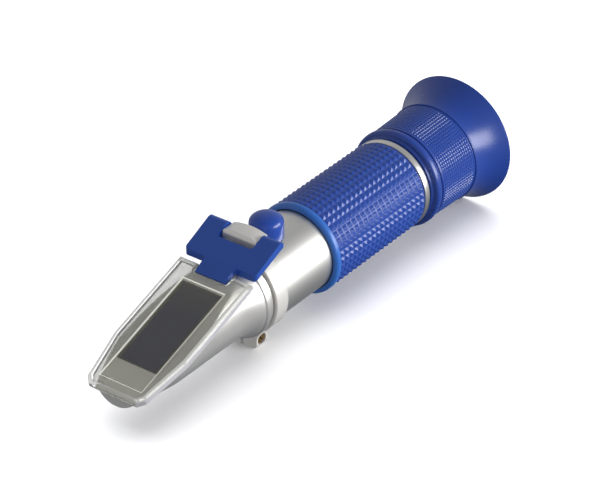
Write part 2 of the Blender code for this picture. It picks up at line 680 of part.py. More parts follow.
def make_compensator(finishes):
    """Make the objective's carriage, its lens, and the bimetal strip on its mount."""
    start = CAP_STATION - CARRIAGE_LENGTH / 2
    bore = OBJECTIVE_RADIUS + CLEARANCE
    carriage_ring = ring_profile(start, CARRIAGE_LENGTH, bore, CARRIAGE_RADIUS)
    carriage = turned("objective_carriage", carriage_ring, finishes["brass"])
    thread = ring_hole(SCREW_SHANK_RADIUS + CLEARANCE, SCREW_TIP - 2 * CARRIAGE_TRAVEL, CARRIAGE_RADIUS + OVERRUN)
    combine(carriage, turned("cut_carriage_thread", thread, None, SMALL_STEPS // 2, UPRIGHT))
    lens_length = OBJECTIVE_EDGE + 2 * OBJECTIVE_CROWN
    lens = lens_profile(CAP_STATION - lens_length / 2, OBJECTIVE_EDGE, OBJECTIVE_CROWN, OBJECTIVE_RADIUS)
    strip_start = start - CLEARANCE - STRIP_LENGTH
    strip_end = strip_start + STRIP_LENGTH
    strip_plan = [
        (strip_start, STRIP_HALF_WIDTH),
        (strip_end, STRIP_HALF_WIDTH),
        (strip_end, -STRIP_HALF_WIDTH),
        (strip_start, -STRIP_HALF_WIDTH),
    ]
    mount_start = strip_start - CLEARANCE - MOUNT_LENGTH
    mount = ring_profile(mount_start, MOUNT_LENGTH, RUNNING_RADIUS - MOUNT_WIDTH - STRIP_THICKNESS, RUNNING_RADIUS)
    return [
        carriage,
        turned("objective_lens", lens, finishes["optical_glass"], SMALL_STEPS),
        extruded("bimetal_strip", strip_plan, -STRIP_DEPTH - STRIP_THICKNESS, -STRIP_DEPTH, finishes["bimetal"]),
        turned("compensator_mount", mount, finishes["black_anodised"]),
    ]


def make_calibration(finishes):
    """Make the calibration screw, the bush that it turns in, and the rubber cap."""
    head_foot = SCREW_HEAD_TOP - SCREW_HEAD_HEIGHT
    counterbore = SCREW_HEAD_RADIUS + CLEARANCE
    shank_hole = SCREW_SHANK_RADIUS + CLEARANCE
    bush_profile = [
        (BUSH_DEPTH, shank_hole),
        (BUSH_DEPTH, BUSH_RADIUS),
        (BUSH_TOP, BUSH_RADIUS),
        (BUSH_TOP, counterbore),
        (head_foot - CLEARANCE, counterbore),
        (head_foot - CLEARANCE, shank_hole),
    ]
    bush = turned("screw_bush", bush_profile, finishes["satin_aluminium"], SMALL_STEPS, UPRIGHT)
    screw_profile = [
        (SCREW_TIP, 0),
        (SCREW_TIP, SCREW_SHANK_RADIUS),
        (head_foot, SCREW_SHANK_RADIUS),
        (head_foot, SCREW_HEAD_RADIUS),
        (SCREW_HEAD_TOP, SCREW_HEAD_RADIUS),
        (SCREW_HEAD_TOP, 0),
    ]
    screw = turned("calibration_screw", screw_profile, finishes["steel"], SMALL_STEPS, UPRIGHT)
    slot_reach = SCREW_HEAD_RADIUS + OVERRUN
    slot = [
        (CAP_STATION - slot_reach, SCREW_SLOT_WIDTH / 2),
        (CAP_STATION + slot_reach, SCREW_SLOT_WIDTH / 2),
        (CAP_STATION + slot_reach, -SCREW_SLOT_WIDTH / 2),
        (CAP_STATION - slot_reach, -SCREW_SLOT_WIDTH / 2),
    ]
    slot_floor = SCREW_HEAD_TOP - SCREW_SLOT_DEPTH
    combine(screw, extruded("cut_screw_slot", slot, slot_floor, SCREW_HEAD_TOP + OVERRUN))

    cavity = BUSH_RADIUS + CLEARANCE
    dome = [
        (CAP_SHOULDER + (CAP_TOP - CAP_SHOULDER) * math.sin(turn), CAP_RADIUS * math.cos(turn))
        for turn in quarter_turn()
    ]
    dome[-1] = (CAP_TOP, 0)
    ceiling = CAP_TOP - CAP_ROOF
    skirt = TUBE_BORE - CLEARANCE
    cap_profile = [(ceiling, 0), (ceiling, cavity), (skirt, cavity), (skirt, CAP_RADIUS)] + dome
    cap = turned("calibration_cap", cap_profile, finishes["blue_rubber"], SMALL_STEPS, UPRIGHT)
    seat = ring_hole(SLEEVE_BORE, CAP_STATION - CAP_RADIUS - OVERRUN, CAP_STATION + CAP_RADIUS + OVERRUN)
    combine(cap, turned("cut_cap_seat", seat, None, OUTER_STEPS))
    return bush, screw, cap


def box_section(station, half_width, top, depth, squareness):
    """Give one cross-section of the prism box, round at squareness 2."""
    ring = []
    for index in range(SECTION_POINTS):
        turn = 2 * math.pi * index / SECTION_POINTS
        across = math.copysign(abs(math.cos(turn)) ** (2 / squareness), math.cos(turn))
        up = math.copysign(abs(math.sin(turn)) ** (2 / squareness), math.sin(turn))
        ring.append((station, half_width * across, (top if up > 0 else depth) * up))
    return ring


def round_section(station, radius):
    """Give a round cross-section of the prism box's neck."""
    return box_section(station, radius, radius, radius, 2)


def prism_box_sections():
    """List the casting's cross-sections: spigot, neck, ring, bell, box and nose."""
    groove_middle = TUBE_END - SPIGOT_LENGTH / 2
    groove_start = groove_middle - ORING_GROOVE_WIDTH / 2
    groove_end = groove_middle + ORING_GROOVE_WIDTH / 2
    groove_radius = RUNNING_RADIUS - ORING_GROOVE_DEPTH
    edge = NECK_RING_CHAMFER
    turned_part = [
        (TUBE_END - SPIGOT_LENGTH, RUNNING_RADIUS),
        (groove_start, RUNNING_RADIUS),
        (groove_start, groove_radius),
        (groove_end, groove_radius),
        (groove_end, RUNNING_RADIUS),
        (CLAMP_START, RUNNING_RADIUS),
        (CLAMP_START, NECK_RADIUS),
        (NECK_RING_START, NECK_RADIUS),
        (NECK_RING_START, NECK_RING_RADIUS - edge),
        (NECK_RING_START + edge, NECK_RING_RADIUS),
        (NECK_RING_END - edge, NECK_RING_RADIUS),
        (NECK_RING_END, BELL_RADIUS),
    ]
    sections = [round_section(station, radius) for station, radius in turned_part]
    for step in range(BELL_STEPS + 1):
        share = step / BELL_STEPS
        ease = 1 - (1 - share) ** 2
        sections.append(box_section(
            BELL_START + BELL_LENGTH * share,
            BELL_RADIUS + (BOX_HALF_WIDTH - BELL_RADIUS) * ease,
            BELL_RADIUS + (BOX_TOP - BELL_RADIUS) * ease,
            BELL_RADIUS + (BOX_DEPTH - BELL_RADIUS) * ease,
            2 + (BOX_SQUARENESS - 2) * ease,
        ))
    for along, narrower, shallower in NOSE_TAPER_SHARES:
        sections.append(box_section(
            BOX_END + NOSE_LENGTH * along,
            BOX_HALF_WIDTH + (NOSE_END_HALF_WIDTH - BOX_HALF_WIDTH) * narrower,
            BOX_TOP,
            BOX_DEPTH + (NOSE_END_DEPTH - BOX_DEPTH) * shallower,
            BOX_SQUARENESS,
        ))
    return sections


def face_rectangle(start, end, half_width, corner):
    """Give a rounded rectangle on the sloping face."""
    return rounded(mirrored([(start, half_width, corner), (end, half_width, corner)]))


def prism_outline(grow):
    """Give the prism's side view, grown outward by a clearance."""
    pocket_start, pocket_end = pocket_span()
    inset = SEAL_WALL + 2 * CLEARANCE
    rear = face_point(pocket_start + inset, PAD_LEVEL)
    front = face_point(pocket_end - inset, PAD_LEVEL)
    floor = -PRISM_FLOOR - grow
    up = Vector((math.sin(FACE_SLOPE), math.cos(FACE_SLOPE))) * (OVERRUN if grow else 0)
    return [
        (rear.x - grow, floor),
        (front.x - PRISM_FRONT_LEAN + grow, floor),
        (front.x + grow, front.y),
        (front.x + grow + up.x, front.y + up.y),
        (rear.x - grow, rear.y + up.y),
    ]


def face_point(along, level):
    """Give the station and height of a place on the sloping face."""
    slope = FACE_SLOPE
    return Vector((
        FACE_START + along * math.cos(slope) + level * math.sin(slope),
        FACE_HEIGHT - along * math.sin(slope) + level * math.cos(slope),
    ))


def pocket_span():
    """Give where the prism's pocket starts and ends along the face."""
    return PAD_START + POCKET_MARGIN, PAD_START + PAD_LENGTH - POCKET_FRONT_MARGIN


def make_prism_box(finishes):
    """Make the casting: loft it, cut the sloping deck, raise the pad, open the pocket and bore."""
    box = lofted("prism_box", prism_box_sections(), finishes["cast_aluminium"])
    deck_start = BELL_START + CLEARANCE
    deck_cut = [
        (deck_start, deck_height(deck_start)),
        (NOSE_END + OVERRUN, deck_height(NOSE_END + OVERRUN)),
        (NOSE_END + OVERRUN, KNUCKLE_CROWN_RADIUS),
        (deck_start, KNUCKLE_CROWN_RADIUS),
    ]
    reach = BOX_HALF_WIDTH + BELL_RADIUS
    combine(box, extruded("cut_deck", deck_cut, -reach, reach, None, SIDEWAYS))

    pad_end = PAD_START + PAD_LENGTH
    pad_plan = face_rectangle(PAD_START, pad_end, PAD_HALF_WIDTH, PAD_CORNER)
    combine(box, extruded("add_pad", pad_plan, DECK_LEVEL - PAD_HEIGHT, PAD_LEVEL, None, FACE), "UNION")

    start, end = pocket_span()
    half_width = PAD_HALF_WIDTH - POCKET_MARGIN
    seat_plan = face_rectangle(start, end, half_width, POCKET_CORNER)
    seat_floor = PAD_LEVEL - SEAL_DEPTH - CLEARANCE
    combine(box, extruded("cut_seal_seat", seat_plan, seat_floor, PAD_LEVEL + OVERRUN, None, FACE))
    throat = half_width - SEAL_WALL - CLEARANCE
    combine(box, extruded("cut_prism_pocket", prism_outline(CLEARANCE), -throat, throat, None, SIDEWAYS))
    bore_end = face_point(start + SEAL_WALL + 2 * CLEARANCE, PAD_LEVEL).x
    bore = ring_hole(BORE_RADIUS, TUBE_END - SPIGOT_LENGTH - OVERRUN, bore_end)
    combine(box, turned("cut_light_bore", bore))
    return box


def deck_height(station):
    """Give the height of the deck's plane at a station."""
    drop = (station - FACE_START) * math.tan(FACE_SLOPE)
    return FACE_HEIGHT + DECK_LEVEL / math.cos(FACE_SLOPE) - drop


def make_prism_and_seal(finishes):
    """Make the glass prism and the rubber frame that seals it in the pad."""
    start, end = pocket_span()
    half_width = PAD_HALF_WIDTH - POCKET_MARGIN - CLEARANCE
    glass_half_width = half_width - SEAL_WALL - CLEARANCE
    prism = extruded(
        "measuring_prism",
        prism_outline(0)[:3] + prism_outline(0)[4:],
        -glass_half_width,
        glass_half_width,
        finishes["prism_glass"],
        SIDEWAYS,
    )
    outer = face_rectangle(start + CLEARANCE, end - CLEARANCE, half_width, POCKET_CORNER - CLEARANCE)
    seal_foot = PAD_LEVEL - SEAL_DEPTH
    seal = extruded("prism_seal", outer, seal_foot, PAD_LEVEL, finishes["black_rubber"], FACE)
    inset = CLEARANCE + SEAL_WALL
    opening = face_rectangle(start + inset, end - inset, half_width - SEAL_WALL, POCKET_CORNER - inset)
    combine(seal, extruded("cut_seal_window", opening, seal_foot - OVERRUN, PAD_LEVEL + OVERRUN, None, FACE))
    return prism, seal


def make_oring(finishes):
    """Make the O-ring in the spigot's groove."""
    middle = TUBE_END - SPIGOT_LENGTH / 2
    ring_radius = RUNNING_RADIUS - ORING_RADIUS
    profile = []
    for step in range(ORING_STEPS):
        turn = 2 * math.pi * step / ORING_STEPS
        profile.append((middle + ORING_RADIUS * math.cos(turn), ring_radius + ORING_RADIUS * math.sin(turn)))
    return turned("neck_oring", profile, finishes["black_rubber"], SMALL_STEPS)


def plate_outline(inset):
    """Give the daylight plate's outline on the face, drawn in by an inset."""
    start = PLATE_REAR_GAP + inset
    end = PLATE_REAR_GAP + PLATE_LENGTH - inset
    shoulder = PLATE_REAR_GAP + PLATE_SHOULDER
    cheek = end - PLATE_TIP_LENGTH
    return [
        (start, PLATE_HALF_WIDTH - inset),
        (shoulder, PLATE_HALF_WIDTH - inset),
        (cheek, PLATE_FRONT_HALF_WIDTH - inset),
        (end, PLATE_TIP_HALF_WIDTH - inset / 2),
        (end, -PLATE_TIP_HALF_WIDTH + inset / 2),
        (cheek, -PLATE_FRONT_HALF_WIDTH + inset),
        (shoulder, -PLATE_HALF_WIDTH + inset),
        (start, -PLATE_HALF_WIDTH + inset),
    ]


def make_daylight_plate(finishes):
    """Make the clear plate: a bevelled panel, a skirt, a press area below and a notch at its rear."""
    levels = [(-PLATE_SKIRT_DEPTH, 0), (-PLATE_BEVEL_DROP, 0), (0, PLATE_BEVEL_WIDTH)]
    rings = [[(x, y, level) for x, y in plate_outline(inset)] for level, inset in levels]
    plate = lofted("daylight_plate", rings, finishes["clear_acrylic"], FACE)
    inner = plate_outline(PLATE_WALL)
    back = PLATE_REAR_GAP - OVERRUN
    rear = PLATE_REAR_GAP + PLATE_REAR_WALL
    inner[0] = (rear, inner[0][1])
    inner[-1] = (rear, inner[-1][1])
    front = PLATE_REAR_GAP + PLATE_LENGTH - PLATE_FRONT_WALL
    inner[3] = (front, inner[3][1])
    inner[4] = (front, inner[4][1])
    recess = extruded("cut_plate_recess", inner, -PLATE_SKIRT_DEPTH - OVERRUN, PANEL_UNDERSIDE, None, FACE)
    combine(plate, recess)
    reach = PLATE_HALF_WIDTH + OVERRUN
    below = mirrored([(back, reach, 0), (rear + CLEARANCE, reach, 0)])
    skirt_floor = -PLATE_SKIRT_DEPTH - OVERRUN
    skirt = extruded("cut_rear_skirt", rounded(below), skirt_floor, -PLATE_REAR_SKIRT, None, FACE)
    combine(plate, skirt)
    press_end = PRESS_START + PRESS_LENGTH
    press = mirrored([(PRESS_START, PRESS_HALF_WIDTH, 0), (press_end, PRESS_HALF_WIDTH, 0)])
    rise = PANEL_UNDERSIDE + PRESS_HEIGHT
    area = extruded("add_press_area", rounded(press), PRESS_LEVEL, rise, None, FACE)
    combine(plate, area, "UNION")
    notch_end = PLATE_REAR_GAP + NOTCH_DEPTH
    notch = mirrored([(back, NOTCH_HALF_WIDTH, 0), (notch_end, NOTCH_HALF_WIDTH, TONGUE_CORNER)])
    cutter = extruded("cut_plate_notch", rounded(notch), -PLATE_SKIRT_DEPTH - OVERRUN, OVERRUN, None, FACE)
    combine(plate, cutter)
    return plate


def bracket_point(along, offset):
    """Give the station and height of a place on the bracket, from the pin."""
    slope = BRACKET_SLOPE
    return (
        PIN_STATION + along * math.cos(slope) + offset * math.sin(slope),
        PIN_HEIGHT - along * math.sin(slope) + offset * math.cos(slope),
    )


def bracket_side():
    """Give the bracket's side view: a round eye at the pin, a flat arm and a steeper tongue."""
    radius = BRACKET_TOP_OFFSET
    eye = []
    for step in range(2 * ARC_STEPS + 1):
        turn = math.pi * step / (2 * ARC_STEPS)
        eye.append(bracket_point(-radius * math.sin(turn), -radius * math.cos(turn)))
    bend = bracket_point(BRACKET_BEND, BRACKET_TOP_OFFSET)
    tongue = (
        bend[0] + TONGUE_LENGTH * math.cos(TONGUE_SLOPE),
        bend[1] - TONGUE_LENGTH * math.sin(TONGUE_SLOPE),
    )
    sink = (TONGUE_THICKNESS * math.sin(TONGUE_SLOPE), TONGUE_THICKNESS * math.cos(TONGUE_SLOPE))
    arm_floor = BRACKET_TOP_OFFSET - BRACKET_THICKNESS
    return eye + [
        bend,
        tongue,
        (tongue[0] - sink[0], tongue[1] - sink[1]),
        (bend[0] - sink[0], bend[1] - sink[1]),
        bracket_point(BRACKET_BEND - BRACKET_THICKNESS / 2, arm_floor),
        bracket_point(FORK_ROOT, arm_floor),
    ]


def make_hinge_bracket(finishes):
    """Make the T-shaped bracket: cut its plan out of its side view, then drill it for the pin."""
    bracket = extruded(
        "hinge_bracket",
        bracket_side(),
        -BRACKET_HALF_WIDTH,
        BRACKET_HALF_WIDTH,
        finishes["blue_plastic"],
        SIDEWAYS,
    )
    rear = PIN_STATION - BRACKET_TOP_OFFSET - CLEARANCE
    bar_front = face_point(PLATE_REAR_GAP, -PLATE_SKIRT_DEPTH).x - CLEARANCE
    fork = bracket_point(FORK_FRONT, 0)[0]
    tongue_front = bar_front + TONGUE_LENGTH
    fork_half_width = KNUCKLE_HALF_WIDTH + CLEARANCE
    plan = mirrored([
        (fork, fork_half_width, FORK_CORNER),
        (rear, fork_half_width, 0),
        (rear, BRACKET_HALF_WIDTH, BRACKET_REAR_CORNER),
        (bar_front, BRACKET_HALF_WIDTH, BRACKET_FRONT_CORNER),
        (bar_front, TONGUE_HALF_WIDTH, TONGUE_CORNER),
        (tongue_front, TONGUE_HALF_WIDTH, 0),
    ])
    keep = extruded("keep_bracket_plan", rounded(plan), 0, EYECUP_RIM_RADIUS + OVERRUN)
    combine(bracket, keep, "INTERSECT")
    relief_end = BELL_START + 2 * CLEARANCE
    relief = ring_hole(NECK_RING_RADIUS + BRACKET_RELIEF_GAP, rear - OVERRUN, relief_end)
    combine(bracket, turned("cut_bracket_relief", relief, None, OUTER_STEPS))
    combine(bracket, pin_cutter("cut_bracket_pin", BRACKET_HALF_WIDTH))
    return bracket


def across(station, height):
    """Place a turned piece along Y through a station and height."""
    return ALONG_AXIS @ Matrix.Translation((station, 0, height)) @ Matrix.Rotation(math.pi / 2, 4, "Z")


def pin_cutter(name, half_width):
    """Make the drill for the hinge pin's hole."""
    reach = half_width + OVERRUN
    profile = ring_hole(PIN_HOLE_RADIUS, -reach, reach)
    return turned(name, profile, None, SMALL_STEPS // 2, across(PIN_STATION, PIN_HEIGHT))


def make_hinge_pin(finishes):
    """Make the steel pin through the bracket's fork and the knuckle."""
    reach = BRACKET_HALF_WIDTH - PIN_SINK
    profile = ring_hole(PIN_RADIUS, -reach, reach)
    return turned("hinge_pin", profile, finishes["steel"], SMALL_STEPS // 2, across(PIN_STATION, PIN_HEIGHT))


def make_clamp_ring(finishes):
    """Make the split clamp ring: ring, hinge knuckle and two ears, then bore, slit and holes."""
    bore = NECK_RADIUS + CLEARANCE
    edge = NECK_RING_CHAMFER
    ring = [
        (CLAMP_START, CLAMP_RADIUS - edge),
        (CLAMP_START + edge, CLAMP_RADIUS),
        (CLAMP_END - edge, CLAMP_RADIUS),
        (CLAMP_END, CLAMP_RADIUS - edge),
    ]
    sections = [round_section(station, radius) for station, radius in ring]
    clamp = lofted("clamp_ring", sections, finishes["satin_aluminium"])

    rear = CLAMP_START - KNUCKLE_OVERHANG
    root = bore + CLEARANCE
    foot_start = CLAMP_START + EAR_INSET
    foot_end = CLAMP_END - EAR_INSET
    knuckle_side = [
        (foot_start, 0),
        (foot_start, CLAMP_RADIUS),
        (rear, CLAMP_RADIUS + KNUCKLE_OVERHANG),
        (rear, EYECUP_RIM_RADIUS),
        (rear + KNUCKLE_TOP_LENGTH, EYECUP_RIM_RADIUS),
        (rear + KNUCKLE_TOP_LENGTH, KNUCKLE_CROWN_RADIUS),
        (rear + KNUCKLE_FOOT_LENGTH, KNUCKLE_FOOT_HEIGHT),
        (foot_end, KNUCKLE_ROOT_HEIGHT),
        (foot_end, 0),
    ]
    knuckle = extruded(
        "add_knuckle", knuckle_side, -KNUCKLE_HALF_WIDTH, KNUCKLE_HALF_WIDTH, None, SIDEWAYS
    )
    crown = ring_hole(KNUCKLE_CROWN_RADIUS, rear - OVERRUN, rear + KNUCKLE_FOOT_LENGTH + OVERRUN)
    combine(knuckle, turned("keep_knuckle_crown", crown, None, OUTER_STEPS), "INTERSECT")
    combine(clamp, knuckle, "UNION")

    ear_front = rounded([
        (-EAR_HALF_WIDTH, -EAR_DROP, EAR_ROUND),
        (EAR_HALF_WIDTH, -EAR_DROP, EAR_ROUND),
        (EAR_HALF_WIDTH, -EAR_ROOT_DEPTH - EAR_ROOT_WIDEN, 0),
        (EAR_HALF_WIDTH + EAR_ROOT_WIDEN, -root + EAR_ROOT_WIDEN, 0),
        (-EAR_HALF_WIDTH - EAR_ROOT_WIDEN, -root + EAR_ROOT_WIDEN, 0),
        (-EAR_HALF_WIDTH, -EAR_ROOT_DEPTH - EAR_ROOT_WIDEN, 0),
    ])
    face_forward = ALONG_AXIS @ Matrix.Rotation(math.pi / 2, 4, "Z") @ Matrix.Rotation(math.pi / 2, 4, "X")
    ears = extruded(
        "add_ears", ear_front, foot_start, foot_end, None, face_forward
    )
    combine(clamp, ears, "UNION")
    through = ring_hole(bore, CLAMP_START - OVERRUN, CLAMP_END + OVERRUN)
    combine(clamp, turned("cut_clamp_bore", through, None, OUTER_STEPS))
    slit = [
        (CLAMP_START - OVERRUN, SLIT_WIDTH / 2),
        (CLAMP_END + OVERRUN, SLIT_WIDTH / 2),
        (CLAMP_END + OVERRUN, -SLIT_WIDTH / 2),
        (CLAMP_START - OVERRUN, -SLIT_WIDTH / 2),
    ]
    combine(clamp, extruded("cut_clamp_slit", slit, -EAR_DROP - OVERRUN, -BORE_RADIUS))
    reach = EAR_HALF_WIDTH + OVERRUN
    hole = ring_hole(EAR_SCREW_RADIUS + CLEARANCE, -reach, reach)
    station = (CLAMP_START + CLAMP_END) / 2
    combine(clamp, turned("cut_ear_screw", hole, None, SMALL_STEPS, across(station, -EAR_SCREW_DEPTH)))
    combine(clamp, pin_cutter("cut_knuckle_pin", KNUCKLE_HALF_WIDTH))
    return clamp


def make_clamp_screw(finishes):
    """Make the cross screw that draws the clamp's ears together."""
    station = (CLAMP_START + CLAMP_END) / 2
    reach = EAR_HALF_WIDTH - EAR_SCREW_SINK
    placement = across(station, -EAR_SCREW_DEPTH)
    screw = turned(
        "clamp_screw", ring_hole(EAR_SCREW_RADIUS, -reach, reach), finishes["brass"], SMALL_STEPS, placement
    )
    slot_reach = EAR_SCREW_RADIUS + OVERRUN
    slot = [
        (station - slot_reach, -EAR_SCREW_DEPTH + EAR_SCREW_SLOT_WIDTH / 2),
        (station + slot_reach, -EAR_SCREW_DEPTH + EAR_SCREW_SLOT_WIDTH / 2),
        (station + slot_reach, -EAR_SCREW_DEPTH - EAR_SCREW_SLOT_WIDTH / 2),
        (station - slot_reach, -EAR_SCREW_DEPTH - EAR_SCREW_SLOT_WIDTH / 2),
    ]
    cutter = extruded(
        "cut_ear_screw_slot", slot, -reach - OVERRUN, -reach + EAR_SCREW_SLOT_DEPTH, None, SIDEWAYS
    )
    combine(screw, cutter)
    return screw


def main():
    """Build every piece and hang the moving ones on their pivots."""
    clear_scene()
    finishes = make_finishes()
    eyecup = make_eyecup(finishes)
    focus_ring = make_focus_ring(finishes)
    eyepiece = make_eyepiece(finishes)
    make_guide_pin(finishes)
    make_body_tube(finishes)
    make_grip(finishes)
    make_collars(finishes)
    make_scale_optics(finishes)
    carriage, objective, _strip, _mount = make_compensator(finishes)
    _bush, calibration_screw, cap = make_calibration(finishes)
    make_prism_box(finishes)
    make_prism_and_seal(finishes)
    make_oring(finishes)
    plate = make_daylight_plate(finishes)
    bracket = make_hinge_bracket(finishes)
    make_hinge_pin(finishes)
    make_clamp_ring(finishes)
    make_clamp_screw(finishes)

    pivot("cover_axis", row_point(PIN_STATION, z=PIN_HEIGHT), plate, bracket)
    pivot("focus_axis", row_point(FOCUS_START), eyecup, focus_ring, *eyepiece)
    pivot("calibration_axis", row_point(CAP_STATION, z=SCREW_HEAD_TOP), calibration_screw)
    pivot("cap_axis", row_point(CAP_STATION, z=CAP_TOP), cap)
    pivot("carriage_axis", row_point(CAP_STATION), carriage, objective)


main()
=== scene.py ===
"""Looks of the hand-held optical refractometer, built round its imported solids.

Sizes are in millimetres and stations are distances forward from the eyecup's rim,
along the optical axis. make_piece turns them into the part's own frame, in metres.
"""

import logging
import math
from collections.abc import Callable, Iterable, Sequence
from dataclasses import dataclass
from enum import Enum

import bmesh
import bpy
from mathutils import Matrix, Vector


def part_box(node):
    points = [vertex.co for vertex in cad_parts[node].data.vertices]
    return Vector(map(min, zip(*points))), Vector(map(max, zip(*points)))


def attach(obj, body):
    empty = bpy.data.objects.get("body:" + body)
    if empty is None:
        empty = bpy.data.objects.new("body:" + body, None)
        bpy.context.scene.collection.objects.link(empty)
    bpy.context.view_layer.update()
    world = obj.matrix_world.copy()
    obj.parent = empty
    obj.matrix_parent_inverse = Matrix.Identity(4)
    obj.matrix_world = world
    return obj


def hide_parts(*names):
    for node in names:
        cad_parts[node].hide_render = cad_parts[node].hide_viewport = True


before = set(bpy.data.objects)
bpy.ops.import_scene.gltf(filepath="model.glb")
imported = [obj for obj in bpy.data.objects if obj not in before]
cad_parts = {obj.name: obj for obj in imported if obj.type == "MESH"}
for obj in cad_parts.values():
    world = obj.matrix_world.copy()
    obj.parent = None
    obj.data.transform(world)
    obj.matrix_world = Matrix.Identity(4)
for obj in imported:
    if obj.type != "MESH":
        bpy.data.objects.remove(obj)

log = logging.getLogger("refractometer")

MM = 0.001
MERGE_DISTANCE = 0.002
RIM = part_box("eyecup")[0].x
TO_ROW = Matrix.Translation((RIM, 0, 0)) @ Matrix.Scale(MM, 4)

Corner = tuple[float, float, float]
Socket = bpy.types.NodeSocket


class Operation(Enum):
    """What a tool does to the shape that it meets."""

    CUT = "DIFFERENCE"
    JOIN = "UNION"
    KEEP = "INTERSECT"


class Body(Enum):
    """The bodies that pieces ride on."""

    INSTRUMENT = "instrument"
    COVER = "cover"
    FOCUS = "focus_control"
    CAP = "cap"


def linear(code: str) -> tuple[float, float, float, float]:
    """Turn an sRGB hex code into linear light.

    Args:
        code: Six hex digits.

    Returns:
        Red, green, blue and a full alpha.
    """
    channels = [int(code[place:place + 2], 16) / 255 for place in (0, 2, 4)]
    red, green, blue = [c / 12.92 if c <= 0.04045 else ((c + 0.055) / 1.055) ** 2.4 for c in channels]
    return red, green, blue, 1.0


def per_metre(size: float) -> float:
    """Give the texture scale at which one feature is this many millimetres."""
    return 1 / (size * MM)


def add_node(
    tree: bpy.types.NodeTree,
    kind: str,
    settings: dict[str | int, object] | None = None,
    links: dict[str | int, Socket] | None = None,
) -> bpy.types.Node:
    """Add a node with its settings and links.

    Args:
        tree: The material's nodes.
        kind: The node's type, without its ShaderNode prefix.
        settings: Values of its properties, and of its inputs by name or number.
        links: Sockets that lead into its inputs, by name or number.

    Returns:
        The new node.
    """
    node = tree.nodes.new(f"ShaderNode{kind}")
    for key, value in (settings or {}).items():
        if isinstance(key, int) or key in node.inputs:
            node.inputs[key].default_value = value
        else:
            setattr(node, key, value)
    for key, source in (links or {}).items():
        tree.links.new(source, node.inputs[key])
    return node


def mix_tones(
    tree: bpy.types.NodeTree, shader: bpy.types.Node, share: Socket, first: str, second: str
) -> None:
    """Colour the surface between two sRGB tones."""
    settings = {"data_type": "RGBA", 6: linear(first), 7: linear(second)}
    tone = add_node(tree, "Mix", settings, {0: share})
    tree.links.new(tone.outputs[2], shader.inputs["Base Color"])


def vary_gloss(
    tree: bpy.types.NodeTree, shader: bpy.types.Node, share: Socket, low: float, high: float
) -> None:
    """Let the roughness run between two values."""
    gloss = add_node(tree, "MapRange", {3: low, 4: high}, {0: share})
    tree.links.new(gloss.outputs[0], shader.inputs["Roughness"])


def add_relief(
    tree: bpy.types.NodeTree, shader: bpy.types.Node, height: Socket, depth: float
) -> None:
    """Raise a pattern on the surface by a depth in millimetres."""
    bump = add_node(tree, "Bump", {"Strength": 1.0, "Distance": depth * MM}, {"Height": height})
    tree.links.new(bump.outputs["Normal"], shader.inputs["Normal"])


@dataclass(frozen=True)
class Finish:
    """A surface that starts from the real material's colour and gloss."""

    name: str
    colour: str
    roughness: float
    metallic: float = 0.0
    ior: float = 1.5

    def material(self) -> bpy.types.Material:
        """Give the material, made on its first use."""
        made = bpy.data.materials.get(self.name)
        if made is None:
            made = bpy.data.materials.new(self.name)
            made.use_nodes = True
            shader = made.node_tree.nodes["Principled BSDF"]
            shader.inputs["Base Color"].default_value = linear(self.colour)
            shader.inputs["Roughness"].default_value = self.roughness
            shader.inputs["Metallic"].default_value = self.metallic
            if not self.metallic:
                shader.inputs["IOR"].default_value = self.ior
            made.diffuse_color = linear(self.colour)
            self.detail(made.node_tree, shader)
        return made

    def detail(self, tree: bpy.types.NodeTree, shader: bpy.types.Node) -> None:
        """Add what the surface shows beyond its plain colour; each kind has its own."""


@dataclass(frozen=True)
class Moulded(Finish):
    """A moulded or blasted surface: fine grain, soft patches of tone and uneven gloss."""

    shade: str = "000000"
    grain: float = 0.2
    grain_depth: float = 0.01
    patch: float = 7.0
    gloss_range: float = 0.06

    def detail(self, tree: bpy.types.NodeTree, shader: bpy.types.Node) -> None:
        """Add the grain, the patches of tone and the uneven gloss."""
        place = add_node(tree, "TexCoord").outputs["Object"]
        patches = add_node(
            tree,
            "TexNoise",
            {"Scale": per_metre(self.patch), "Detail": 4.0, "Roughness": 0.6},
            {"Vector": place},
        )
        mix_tones(tree, shader, patches.outputs["Fac"], self.shade, self.colour)
        grain = add_node(
            tree,
            "TexNoise",
            {"Scale": per_metre(self.grain), "Detail": 3.0, "Roughness": 0.55},
            {"Vector": place},
        )
        low, high = self.roughness - self.gloss_range, self.roughness + self.gloss_range
        vary_gloss(tree, shader, patches.outputs["Fac"], low, high)
        add_relief(tree, shader, grain.outputs["Fac"], self.grain_depth)


@dataclass(frozen=True)
class EtchedWithPaintedGlow(Moulded):
    """An etched edge of a clear moulding, with a painted glow: emission that makes it brighter than the light
    on it.
    """

    # The glow is painted light: emission that lights the surface in its own colour.
    painted_glow: float = 0.1

    def detail(self, tree: bpy.types.NodeTree, shader: bpy.types.Node) -> None:
        """Add the grain and the painted glow, an emission in the surface's own colour."""
        super().detail(tree, shader)
        shader.inputs["Emission Color"].default_value = linear(self.colour)
        shader.inputs["Emission Strength"].default_value = self.painted_glow


